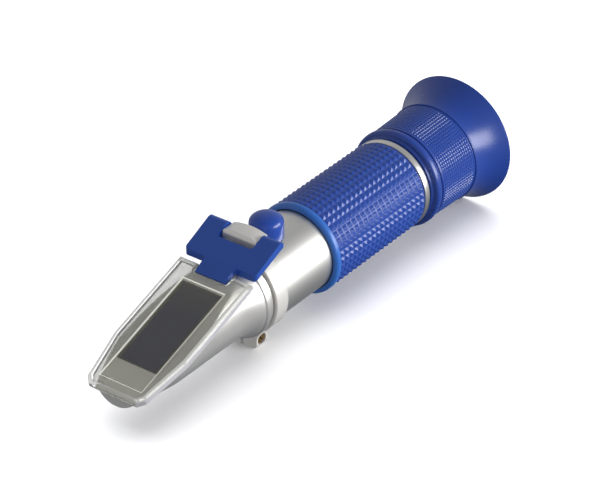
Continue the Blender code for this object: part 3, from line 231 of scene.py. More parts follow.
@dataclass(frozen=True)
class Turned(Finish):
    """A turned metal surface: fine rings of tool marks square to the optical axis."""

    shade: str = "000000"
    pitch: float = 0.12
    mark_depth: float = 0.002
    patch: float = 8.0
    gloss_range: float = 0.05

    def detail(self, tree: bpy.types.NodeTree, shader: bpy.types.Node) -> None:
        """Add the tool marks, the slightly cloudy tone and the uneven gloss."""
        place = add_node(tree, "TexCoord").outputs["Object"]
        along = add_node(
            tree,
            "Mapping",
            {"Scale": (per_metre(self.pitch), per_metre(60.0), per_metre(60.0))},
            {"Vector": place},
        )
        marks = add_node(
            tree, "TexNoise", {"Scale": 1.0, "Detail": 2.0}, {"Vector": along.outputs["Vector"]}
        )
        clouds = add_node(
            tree, "TexNoise", {"Scale": per_metre(self.patch), "Detail": 3.0}, {"Vector": place}
        )
        mix_tones(tree, shader, clouds.outputs["Fac"], self.shade, self.colour)
        low, high = self.roughness - self.gloss_range, self.roughness + self.gloss_range
        vary_gloss(tree, shader, marks.outputs["Fac"], low, high)
        add_relief(tree, shader, marks.outputs["Fac"], self.mark_depth)


@dataclass(frozen=True)
class Clear(Finish):
    """A clear moulding or polished glass, with a faint waviness and a few dull patches."""

    transmission: float = 1.0
    wave: float = 6.0
    wave_depth: float = 0.004
    haze: float = 0.03

    def detail(self, tree: bpy.types.NodeTree, shader: bpy.types.Node) -> None:
        """Let light through, and add the waviness and the haze."""
        shader.inputs["Transmission Weight"].default_value = self.transmission
        place = add_node(tree, "TexCoord").outputs["Object"]
        waves = add_node(
            tree, "TexNoise", {"Scale": per_metre(self.wave), "Detail": 1.0}, {"Vector": place}
        )
        vary_gloss(tree, shader, waves.outputs["Fac"], self.roughness, self.roughness + self.haze)
        add_relief(tree, shader, waves.outputs["Fac"], self.wave_depth)


@dataclass(frozen=True)
class CellGlassWithPaintedReflection(Finish):
    """Prism glass over a dark cell: nearly black, with a painted reflection, a faint lighter olive tone, at
    its rear end.
    """

    # The cast is a painted reflection: a lighter olive tone that fades in towards the rear.
    cast: str = "54503F"
    rear: float = 113.0
    front: float = 129.0

    def detail(self, tree: bpy.types.NodeTree, shader: bpy.types.Node) -> None:
        """Fade from the painted olive reflection at the rear to the dark glass."""
        place = add_node(tree, "TexCoord").outputs["Object"]
        apart = add_node(tree, "SeparateXYZ", {}, {0: place})
        fade = add_node(
            tree,
            "MapRange",
            {1: RIM + self.rear * MM, 2: RIM + self.front * MM, 3: 0.0, 4: 1.0},
            {0: apart.outputs["X"]},
        )
        mix_tones(tree, shader, fade.outputs[0], self.cast, self.colour)


# Thermoplastic rubber from a polished mould: an even satin that spreads highlights wide.
CUP_RUBBER = Moulded("moulded_cup_rubber", "1C4096", 0.27, shade="19398A", grain=0.25, grain_depth=0.002)
# The same rubber from a spark-eroded mould: sharp little facets, each a bit duller.
GRIP_RUBBER = Moulded("knurled_grip_rubber", "2147A0", 0.22, shade="1E4092", grain=0.12, grain_depth=0.004)
# The same rubber polished: the cap shows the lights as small clear shapes.
CAP_RUBBER = Moulded("polished_cap_rubber", "1F47A4", 0.22, shade="1C4098", grain=0.4, grain_depth=0.002)
# Moulded ABS: semi-gloss with a very fine even texture.
BRACKET_ABS = Moulded("moulded_bracket_abs", "1B4BA6", 0.34, shade="19469C", grain=0.18, grain_depth=0.003)
# Moulded ABS in a lighter blue, glossy round its rounded nose.
RING_ABS = Moulded("moulded_ring_abs", "2F6CC2", 0.28, shade="2A62B4", grain=0.3, grain_depth=0.002)
# Aluminium, turned, blasted and anodised natural: a soft satin that draws highlights out wide.
SATIN_ALUMINIUM = Turned("satin_anodised_aluminium", "E0DFDB", 0.4, 1.0, shade="D6D5D1")
# Turned aluminium left brighter: the rings and chamfers.
BRIGHT_ALUMINIUM = Turned("bright_turned_aluminium", "DCDBD8", 0.3, 1.0, shade="D0CFCC", pitch=0.2)
# Aluminium die casting, bead blasted and painted silver: a fine grain, grey rather than mirror-like.
CAST_ALUMINIUM = Moulded(
    "blasted_cast_aluminium", "D8D7D4", 0.34, 0.75, shade="CECDCA", grain=0.16, grain_depth=0.006
)
# The same casting's deck, milled flat and blasted again: matt, a little warmer, and paler than its finish
# alone would make it: painted light, lifted to make up for the lamp light that the clear plate keeps off it.
MATT_DECK_PAINTED_LIGHT = Moulded("matt_milled_deck_painted_light", "F2EEE4", 0.55, 0.05, shade="E9E5DB", grain=0.14, grain_depth=0.004)
# The clamp: a casting under a paler silver paint.
CLAMP_PAINT = Moulded(
    "silver_painted_clamp", "E6E4DF", 0.36, 0.4, shade="DCDAD5", grain=0.18, grain_depth=0.004
)
# Black anodised aluminium: the eyepiece's inside, nearly without reflection.
BLACK_ANODISED = Turned("black_anodised_aluminium", "1B1B1E", 0.55, shade="141416")
# Turned steel: the hinge pin and the calibration screw.
STEEL = Turned("turned_steel", "A8A8AA", 0.25, 1.0, shade="98989B", pitch=0.1)
# Turned brass, slightly tarnished.
BRASS = Turned("dull_brass", "A5854E", 0.38, 1.0, shade="7E6238", pitch=0.15)
# Rolled bimetal: warm grey with rolling lines.
BIMETAL = Turned("rolled_bimetal", "9A7B5A", 0.4, 1.0, shade="86694B", pitch=0.3)
# Polished optical glass, anti-reflection coated: a faint green.
OPTICAL_GLASS = Clear("polished_optical_glass", "EAF4F0", 0.0, ior=1.52, wave_depth=0.0, haze=0.0)
# Clear cast acrylic: it shows its edges as bright and dark lines.
ACRYLIC = Clear("clear_moulded_acrylic", "F6F7F4", 0.02, ior=1.49)
# Acrylic whose underside is lightly etched: it softens and greys what lies below.
HAZY_ACRYLIC = Clear("lightly_etched_acrylic", "E6E6E0", 0.3, ior=1.49, transmission=0.5, haze=0.06)
# Acrylic with a fine etched texture: it scatters what passes into a pale grey, and carries a faint painted
# glow.
FROSTED_ACRYLIC_PAINTED_GLOW = EtchedWithPaintedGlow(
    "etched_acrylic", "BDBCC2", 0.5, shade="A3A2A8", grain=0.25, grain_depth=0.03, painted_glow=0.03
)
# The same at the plateau's narrow rim, where a strong painted glow makes it show as a bright line.
ETCHED_RIM_PAINTED_GLOW = EtchedWithPaintedGlow(
    "etched_acrylic_rim_painted_glow", "F4F4EC", 0.5, shade="ECECE4", grain=0.25, grain_depth=0.01, painted_glow=0.55
)
# Dense flint glass over a blackened cell, with a painted olive reflection at its rear.
PRISM_GLASS = CellGlassWithPaintedReflection("flint_glass_over_dark_cell_painted_reflection", "28243C", 0.1, ior=1.65)
# Olive sealing compound between glass and casting: matt, darker than the casting.
SEAL_COMPOUND = Moulded("dark_sealing_compound", "77735F", 0.45, shade="67634F", grain=0.2, grain_depth=0.003)
# Nitrile rubber: matt black.
NITRILE = Moulded("nitrile_rubber", "232325", 0.65, shade="1B1B1D", grain=0.2, grain_depth=0.004)


def outline_mesh(corners: Sequence[Corner], segments: int = 6) -> bmesh.types.BMesh:
    """Start a mesh from one flat face whose corners are rounded.

    Args:
        corners: Places in the XY plane, each with the radius of its rounding.
        segments: Steps in each rounding.

    Returns:
        A mesh with that face.
    """
    bm = bmesh.new()
    verts = [bm.verts.new((x, y, 0)) for x, y, _ in corners]
    bm.faces.new(verts)
    for size in sorted({radius for _, _, radius in corners if radius}):
        picked = [vert for vert, corner in zip(verts, corners) if corner[2] == size]
        bmesh.ops.bevel(
            bm,
            geom=picked,
            offset=size,
            offset_type="OFFSET",
            segments=segments,
            profile=0.5,
            affect="VERTICES",
            material=-1,
        )
    return bm


def spun(corners: Sequence[Corner], steps: int = 128, segments: int = 4) -> bmesh.types.BMesh:
    """Spin a closed outline about the X axis.

    Args:
        corners: Places as (along, radius, rounding).
        steps: Facets round the axis.
        segments: Steps in each rounding.

    Returns:
        A closed mesh about X.
    """
    bm = outline_mesh(corners, segments)
    bmesh.ops.rotate(bm, verts=bm.verts, cent=(0, 0, 0), matrix=Matrix.Rotation(math.pi / 2, 3, "X"))
    bmesh.ops.delete(bm, geom=list(bm.faces), context="FACES_ONLY")
    on_axis = [edge for edge in bm.edges if all(abs(vert.co.z) < MERGE_DISTANCE for vert in edge.verts)]
    bmesh.ops.delete(bm, geom=on_axis, context="EDGES")
    bmesh.ops.spin(
        bm,
        geom=list(bm.verts) + list(bm.edges),
        cent=(0, 0, 0),
        axis=(1, 0, 0),
        angle=2 * math.pi,
        steps=steps,
        use_merge=True,
    )
    return tidied(bm)


def tidied(bm: bmesh.types.BMesh) -> bmesh.types.BMesh:
    """Merge doubles and point the faces outwards."""
    bmesh.ops.remove_doubles(bm, verts=bm.verts, dist=MERGE_DISTANCE)
    bmesh.ops.recalc_face_normals(bm, faces=bm.faces)
    return bm


def extruded(
    corners: Sequence[Corner], low: float, high: float, placement: Matrix | None = None, segments: int = 6
) -> bmesh.types.BMesh:
    """Extrude a rounded outline along Z and put it in place.

    Args:
        corners: Places as (x, y, rounding).
        low: Where the solid starts.
        high: Where it ends.
        placement: Maps the outline's own frame to the instrument's.
        segments: Steps in each rounding.

    Returns:
        A closed mesh.
    """
    bm = outline_mesh(corners, segments)
    bmesh.ops.translate(bm, verts=bm.verts, vec=(0, 0, low))
    raised = bmesh.ops.extrude_face_region(bm, geom=list(bm.faces))["geom"]
    verts = [item for item in raised if isinstance(item, bmesh.types.BMVert)]
    bmesh.ops.translate(bm, verts=verts, vec=(0, 0, high - low))
    if placement:
        bmesh.ops.transform(bm, matrix=placement, verts=bm.verts)
    return tidied(bm)


def moved(bm: bmesh.types.BMesh, placement: Matrix) -> bmesh.types.BMesh:
    """Put a mesh in place."""
    bmesh.ops.transform(bm, matrix=placement, verts=bm.verts)
    return bm


def as_object(name: str, bm: bmesh.types.BMesh) -> bpy.types.Object:
    """Turn a mesh being made into a bare object."""
    mesh = bpy.data.meshes.new(name)
    bm.to_mesh(mesh)
    bm.free()
    thing = bpy.data.objects.new(name, mesh)
    bpy.context.scene.collection.objects.link(thing)
    return thing


def combined(
    bm: bmesh.types.BMesh, tools: Iterable[tuple[Operation, bmesh.types.BMesh]]
) -> bmesh.types.BMesh:
    """Cut, join or keep with other closed shapes, one after another.

    Args:
        bm: The shape to work on; it is used up.
        tools: Each operation with its tool; they are used up.

    Returns:
        The resulting closed mesh.
    """
    work = as_object("work", bm)
    helpers = []
    for operation, tool in tools:
        helper = as_object("tool", tool)
        boolean = work.modifiers.new(operation.name.lower(), "BOOLEAN")
        boolean.operation = operation.value
        boolean.solver = "EXACT"
        boolean.object = helper
        helpers.append(helper)
    result = bmesh.new()
    result.from_object(work, bpy.context.evaluated_depsgraph_get())
    for thing in [work, *helpers]:
        mesh = thing.data
        bpy.data.objects.remove(thing, do_unlink=True)
        bpy.data.meshes.remove(mesh)
    bmesh.ops.remove_doubles(result, verts=result.verts, dist=MERGE_DISTANCE)
    bmesh.ops.dissolve_degenerate(result, edges=result.edges, dist=MERGE_DISTANCE)
    return result


def softened(
    bm: bmesh.types.BMesh,
    width: float,
    sharper_than: float = 30.0,
    segments: int = 2,
    chosen: Callable[[bmesh.types.BMEdge], bool] | None = None,
) -> bmesh.types.BMesh:
    """Round the sharp edges of a mesh.

    Args:
        bm: The mesh.
        width: Width of the rounding.
        sharper_than: Smallest angle between faces that counts, in degrees.
        segments: Steps in the rounding.
        chosen: A test that picks among the sharp edges.

    Returns:
        The same mesh.
    """
    limit = math.radians(sharper_than)
    edges = [
        edge for edge in bm.edges
        if edge.is_manifold and edge.calc_face_angle() > limit and (chosen is None or chosen(edge))
    ]
    bmesh.ops.bevel(
        bm,
        geom=edges,
        offset=width,
        offset_type="OFFSET",
        segments=segments,
        profile=0.5,
        affect="EDGES",
        material=-1,
        clamp_overlap=True,
    )
    return bm


def ring_corners(start: float, end: float, inner: float, outer: float, edge: float = 0.0) -> list[Corner]:
    """Give a ring's outline, with its two outer edges rounded."""
    return [(start, inner, 0), (start, outer, edge), (end, outer, edge), (end, inner, 0)]


def rod_corners(start: float, end: float, radius: float, edge: float = 0.0) -> list[Corner]:
    """Give a solid rod's outline, with its two edges rounded."""
    return [(start, 0, 0), (start, radius, edge), (end, radius, edge), (end, 0, 0)]


def make_piece(
    name: str,
    bm: bmesh.types.BMesh,
    finish: Finish,
    body: Body,
    nodes: Sequence[str],
    sharp: float = 30.0,
    even_faces: bool = False,
) -> bpy.types.Object:
    """Turn a mesh in millimetres into a finished piece that rides on a body.

    Args:
        name: The piece's name.
        bm: The mesh, used up.
        finish: Its surface.
        body: What it rides on.
        nodes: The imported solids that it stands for.
        sharp: Angle in degrees above which an edge is shaded as sharp.
        even_faces: Whether large flat faces set the shading of the small ones beside them.

    Returns:
        The piece.
    """
    bmesh.ops.transform(bm, matrix=TO_ROW, verts=bm.verts)
    piece = as_object(name, bm)
    piece.data.shade_smooth()
    piece.data.set_sharp_from_angle(angle=math.radians(sharp))
    piece.data.materials.append(finish.material())
    if even_faces:
        weighted = piece.modifiers.new("even_faces", "WEIGHTED_NORMAL")
        weighted.keep_sharp = True
    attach(piece, body.value)
    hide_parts(*nodes)
    log.info("%s: %d faces", name, len(piece.data.polygons))
    return piece


def dress(node: str, finish: Finish) -> None:
    """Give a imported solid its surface."""
    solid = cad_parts[node]
    solid.data.materials.clear()
    solid.data.materials.append(finish.material())
    log.info("%s: dressed", node)


@dataclass
class EyepieceEnd:
    """The flared eyecup and the focusing ring, which turn together."""

    cup_length: float = 11.8
    rim_radius: float = 20.0
    rim_width: float = 0.9
    foot_radius: float = 15.5
    bead_radius: float = 15.85
    floor: float = 2.2
    opening: float = 9.2
    bowl_radius: float = 11.4
    curve_steps: int = 14
    sleeve_start: float = 11.86
    sleeve_end: float = 27.1
    collar_end: float = 31.5
    rear_radius: float = 15.5
    waist_radius: float = 15.1
    collar_radius: float = 15.45
    bore: float = 12.65
    mouth: float = 11.0
    flange: float = 2.0
    stud_rows: int = 15
    stud_columns: int = 96
    stud_height: float = 0.22
    stud_slope: float = 0.24
    band: float = 0.7

    def cup_outline(self) -> list[Corner]:
        """Give the eyecup's outline: a concave trumpet outside and a deep bowl inside."""
        flare = self.rim_radius - self.foot_radius
        steps = [step / self.curve_steps for step in range(self.curve_steps + 1)]
        outside = [
            (self.cup_length * share, self.foot_radius + flare * (1 - share) ** 2, 0) for share in steps
        ]
        outside[0] = (0, self.rim_radius, 0.35)
        bead = [
            (self.cup_length - 0.65, self.foot_radius + 0.02, 0),
            (self.cup_length - 0.5, self.bead_radius, 0.2),
            (self.cup_length, self.bead_radius, 0.2),
        ]
        floor_at = self.cup_length - self.floor
        inner_rim = self.rim_radius - self.rim_width
        bowl = []
        for share in steps:
            rise = (inner_rim - self.bowl_radius) * (0.75 * share + 0.25 * share ** 3)
            bowl.append((floor_at * (1 - share), self.bowl_radius + rise, 0))
        bowl[-1] = (0, inner_rim, 0.3)
        bowl[0] = (floor_at, self.bowl_radius, 0.4)
        lip = [(self.cup_length, self.opening, 0.2), (floor_at, self.opening, 0.3)]
        return outside[:-1] + bead + lip + bowl

    def cup(self) -> bpy.types.Object:
        """Build the eyecup."""
        bm = spun(self.cup_outline(), 160)
        return make_piece("cup", bm, CUP_RUBBER, Body.FOCUS, ["eyecup"], 40)

    def sleeve(self) -> bpy.types.Object:
        """Build the focusing ring's sleeve with its grid of small studs."""
        start, end = self.sleeve_start, self.sleeve_end
        drop = self.stud_height
        first, last = start + self.band, end - self.band
        corners = [(start, self.mouth, 0), (start, self.rear_radius, 0), (first - 0.3, self.rear_radius, 0)]
        for row in range(self.stud_rows + 1):
            share = row / self.stud_rows
            radius = self.rear_radius + (self.waist_radius - self.rear_radius) * share - drop
            corners.append((first + (last - first) * share, radius, 0))
        corners += [(end, self.waist_radius - drop, 0), (end, self.bore, 0)]
        corners += [(start + self.flange, self.bore, 0), (start + self.flange, self.mouth, 0)]
        bm = spun(corners, self.stud_columns)
        cells = [
            face for face in bm.faces
            if first < face.calc_center_median().x < last
            and math.hypot(face.calc_center_median().y, face.calc_center_median().z) > self.bore + 1
        ]
        bmesh.ops.inset_individual(
            bm, faces=cells, thickness=self.stud_slope, depth=drop, use_even_offset=True
        )
        return make_piece(
            "focusing_sleeve", bm, GRIP_RUBBER, Body.FOCUS, ["focus_ring"], 25
        )

    def collar(self) -> bpy.types.Object:
        """Build the plain rounded collar in front of the studs."""
        start, end, crest = self.sleeve_end, self.collar_end, self.collar_radius
        corners = [
            (start, self.bore, 0),
            (start, crest - 0.3, 0.1),
            (start + 0.35, crest - 0.3, 0.1),
            (start + 0.5, crest - 0.75, 0.1),
            (start + 0.8, crest - 0.75, 0.15),
            (start + 1.3, crest, 0.6),
            (end - 1.0, crest - 0.1, 0.7),
            (end - 0.8, crest - 1.7, 0.3),
            (end - 0.1, crest - 1.9, 0.1),
            (end - 0.1, self.bore, 0),
        ]
        bm = spun(corners, 160)
        return make_piece("focusing_collar", bm, CUP_RUBBER, Body.FOCUS, ["focus_ring"], 50)

    def build(self) -> list[bpy.types.Object]:
        """Build the eyecup, the studded sleeve and the collar."""
        return [self.cup(), self.sleeve(), self.collar()]


@dataclass
class Grip:
    """The rubber grip: four-sided pyramids on a square grid, with narrow flat grooves between."""

    start: float = 34.85
    end: float = 75.3
    valley: float = 13.65
    height: float = 0.6
    rows: int = 19
    columns: int = 42
    bore: float = 12.65
    groove: float = 0.11
    ridge: float = 0.05

    def build(self) -> bpy.types.Object:
        """Build the grip."""
        pitch = (self.end - self.start) / self.rows
        corners = [(self.start, self.bore, 0)]
        corners += [(self.start + pitch * row, self.valley, 0) for row in range(self.rows + 1)]
        corners.append((self.end, self.bore, 0))
        bm = spun(corners, self.columns)
        cells = [
            face for face in bm.faces
            if face.calc_center_median().yz.length > (self.valley + self.bore) / 2
            and abs(face.normal.x) < 0.5
        ]
        bmesh.ops.inset_individual(bm, faces=cells, thickness=self.groove, depth=0, use_even_offset=True)
        tips = bmesh.ops.poke(bm, faces=cells, offset=self.height)["verts"]
        ridges = [edge for tip in tips for edge in tip.link_edges]
        bmesh.ops.bevel(
            bm,
            geom=ridges,
            offset=self.ridge,
            offset_type="OFFSET",
            segments=2,
            profile=0.5,
            affect="EDGES",
            material=-1,
            clamp_overlap=True,
        )
        return make_piece("grip", bm, GRIP_RUBBER, Body.INSTRUMENT, ["grip_sleeve"], 20)


@dataclass
class TubeAndRings:
    """The aluminium tube, the silver ring behind the grip and the blue ring in front of it."""

    radius: float = 12.35
    bore: float = 11.0
    start: float = 17.0
    end: float = 98.1
    bush_station: float = 90.7
    bush_hole: float = 4.2
    ring_bore: float = 12.65
    rear_start: float = 32.4
    rear_end: float = 34.55
    rear_radius: float = 13.9
    front_start: float = 75.6
    front_end: float = 77.5
    front_radius: float = 14.2

    def tube(self) -> bpy.types.Object:
        """Build the tube with the hole that the calibration bush sits in."""
        bm = spun(ring_corners(self.start, self.end, self.bore, self.radius, 0.2), 160)
        hole = moved(spun(rod_corners(0, 20, self.bush_hole), 48), upright(self.bush_station))
        bm = combined(bm, [(Operation.CUT, hole)])
        return make_piece(
            "tube", bm, SATIN_ALUMINIUM, Body.INSTRUMENT, ["body_tube"], 30
        )

    def rear_ring(self) -> bpy.types.Object:
        """Build the silver ring."""
        corners = ring_corners(self.rear_start, self.rear_end, self.ring_bore, self.rear_radius, 0.3)
        return make_piece(
            "rear_ring", spun(corners, 160), BRIGHT_ALUMINIUM, Body.INSTRUMENT,
            ["rear_collar"], 50,
        )

    def front_ring(self) -> bpy.types.Object:
        """Build the blue ring, rounded at its front."""
        corners = [
            (self.front_start, self.ring_bore, 0),
            (self.front_start, self.front_radius, 0.12),
            (self.front_end, self.front_radius, 1.1),
            (self.front_end, self.ring_bore, 0.1),
        ]
        return make_piece(
            "blue_ring", spun(corners, 160, 8), RING_ABS, Body.INSTRUMENT,
            ["front_ring"], 50,
        )

    def build(self) -> list[bpy.types.Object]:
        """Build the tube and both rings."""
        return [self.tube(), self.rear_ring(), self.front_ring()]


def upright(station: float) -> Matrix:
    """Stand a turned piece up at a station, its own X axis along Z."""
    return Matrix.Translation((station, 0, 0)) @ Matrix.Rotation(-math.pi / 2, 4, "Y")


def across(station: float, height: float) -> Matrix:
    """Lay a turned piece across the instrument, its own X axis along Y."""
    return Matrix.Translation((station, 0, height)) @ Matrix.Rotation(math.pi / 2, 4, "Z")


SIDEWAYS = Matrix.Rotation(math.pi / 2, 4, "X")
FACE_SLOPE = math.radians(18.6)
FACE_STATION = 113.2
FACE_HEIGHT = 12.4
FACE = Matrix.Translation((FACE_STATION, 0, FACE_HEIGHT)) @ Matrix.Rotation(FACE_SLOPE, 4, "Y")
PAD_LEVEL = -1.8
DECK_LEVEL = -2.3


def face_point(along: float, level: float) -> Vector:
    """Give the station and height of a place on the sloping face."""
    place = FACE @ Vector((along, 0, level))
    return Vector((place.x, place.z))


def mirrored(half: Sequence[Corner]) -> list[Corner]:
    """Complete an outline that is drawn on the +Y side."""
    return list(half) + [(x, -y, radius) for x, y, radius in reversed(half)]


@dataclass
class Calibration:
    """The rubber cap over the calibration screw: a short post with a low rounded crown."""

    station: float = 91.1
    bush_station: float = 90.7
    radius: float = 4.95
    shoulder: float = 15.9
    top: float = 18.8
    squareness: float = 2.35
    roof: float = 1.4
    cavity: float = 4.1
    foot: float = 10.7
    seat: float = 12.65
    steps: int = 16

    def build(self) -> bpy.types.Object:
        """Build the cap and cut its foot to the tube."""
        rise = self.top - self.shoulder
        turns = [math.pi / 2 * step / self.steps for step in range(self.steps)]
        power = 2 / self.squareness
        dome = [
            (self.shoulder + rise * math.sin(turn) ** power, self.radius * math.cos(turn) ** power, 0)
            for turn in turns
        ]
        outline = [(self.foot, 0, 0), (self.foot, self.radius, 0), *dome, (self.top, 0, 0)]
        bm = moved(spun(outline, 96), upright(self.station))
        hollow = spun(rod_corners(self.foot - 1, self.top - self.roof, self.cavity, 0.6), 64)
        tools = [
            (Operation.CUT, moved(hollow, upright(self.bush_station))),
            (Operation.CUT, spun(rod_corners(self.station - 8, self.station + 8, self.seat), 128)),
        ]
        bm = softened(combined(bm, tools), 0.15, 45)
        return make_piece("cap_dome", bm, CAP_RUBBER, Body.CAP, ["calibration_cap"], 40)


@dataclass
class Clamp:
    """The split clamp ring with the hinge knuckle on top and two ears below, and its screw."""

    start: float = 98.4
    end: float = 103.5
    radius: float = 13.2
    bore: float = 11.9
    knuckle_half_width: float = 5.8
    crown: float = 18.5
    ear_half_width: float = 5.3
    ear_drop: float = 17.8
    pin_station: float = 101.4
    pin_height: float = 16.0
    pin_hole: float = 1.05
    screw_depth: float = 15.3
    screw_radius: float = 1.5

    def ring(self) -> bpy.types.Object:
        """Build the ring with its knuckle and ears."""
        start, end = self.start, self.end
        bm = spun([(start, 9, 0), (start, self.radius, 0.4), (end, self.radius, 0.4), (end, 9, 0)], 144)
        side = [
            (start + 0.2, 10, 0), (start + 0.2, 13.2, 0), (start - 0.4, 13.6, 0.3), (start - 0.4, 19, 0),
            (start + 0.6, 19, 0), (start + 4.2, self.crown - 0.4, 0.3), (start + 4.75, 16.8, 0.3),
            (start + 4.75, 14.2, 0.3), (end - 0.2, 12.6, 0), (end - 0.2, 10, 0),
        ]
        knuckle = extruded(side, -self.knuckle_half_width, self.knuckle_half_width, SIDEWAYS)
        crown = spun(rod_corners(start - 3, end + 4, self.crown), 160)
        knuckle = combined(knuckle, [(Operation.KEEP, crown)])
        wide = self.ear_half_width
        front = mirrored([(-self.ear_drop, wide, 1.6), (-14.0, wide, 0.8), (-11.0, wide + 1.7, 0)])
        turn = Matrix.Rotation(math.pi / 2, 4, "Y") @ Matrix.Scale(-1, 4, (1, 0, 0))
        ears = extruded(front, start + 0.2, end - 0.2, turn)
        middle = (start + end) / 2
        slit = extruded(mirrored([(start - 2, 0.5, 0), (end + 2, 0.5, 0)]), -20, -7)
        screw_bore = spun(rod_corners(-8, 8, self.screw_radius + 0.3), 48)
        pin_bore = spun(rod_corners(-9, 9, self.pin_hole), 32)
        tools = [
            (Operation.JOIN, knuckle),
            (Operation.JOIN, ears),
            (Operation.CUT, spun(rod_corners(start - 2, end + 2, self.bore), 144)),
            (Operation.CUT, slit),
            (Operation.CUT, moved(screw_bore, across(middle, -self.screw_depth))),
            (Operation.CUT, moved(pin_bore, across(self.pin_station, self.pin_height))),
        ]
        bm = softened(combined(bm, tools), 0.2, 35)
        return make_piece(
            "clamp", bm, CLAMP_PAINT, Body.INSTRUMENT, ["clamp_ring"], 40, True
        )

    def screw(self) -> bpy.types.Object:
        """Build the cross screw with its slot."""
        middle = (self.start + self.end) / 2
        reach = self.ear_half_width - 0.4
        placement = across(middle, -self.screw_depth)
        bm = moved(spun(rod_corners(-reach, reach, self.screw_radius, 0.25), 64), placement)
        slot_plan = [(-3, 0.3, 0), (3, 0.3, 0), (3, -0.3, 0), (-3, -0.3, 0)]
        turn = placement @ Matrix.Rotation(math.pi / 2, 4, "Y") @ Matrix.Rotation(math.radians(35), 4, "Z")
        cuts = [(Operation.CUT, extruded(slot_plan, reach - 0.8, reach + 2, turn))]
        return make_piece(
            "cross_screw", combined(bm, cuts), BRASS, Body.INSTRUMENT, ["clamp_screw"], 35
        )

    def build(self) -> list[bpy.types.Object]:
        """Build the clamp ring and its screw."""
        return [self.ring(), self.screw()]


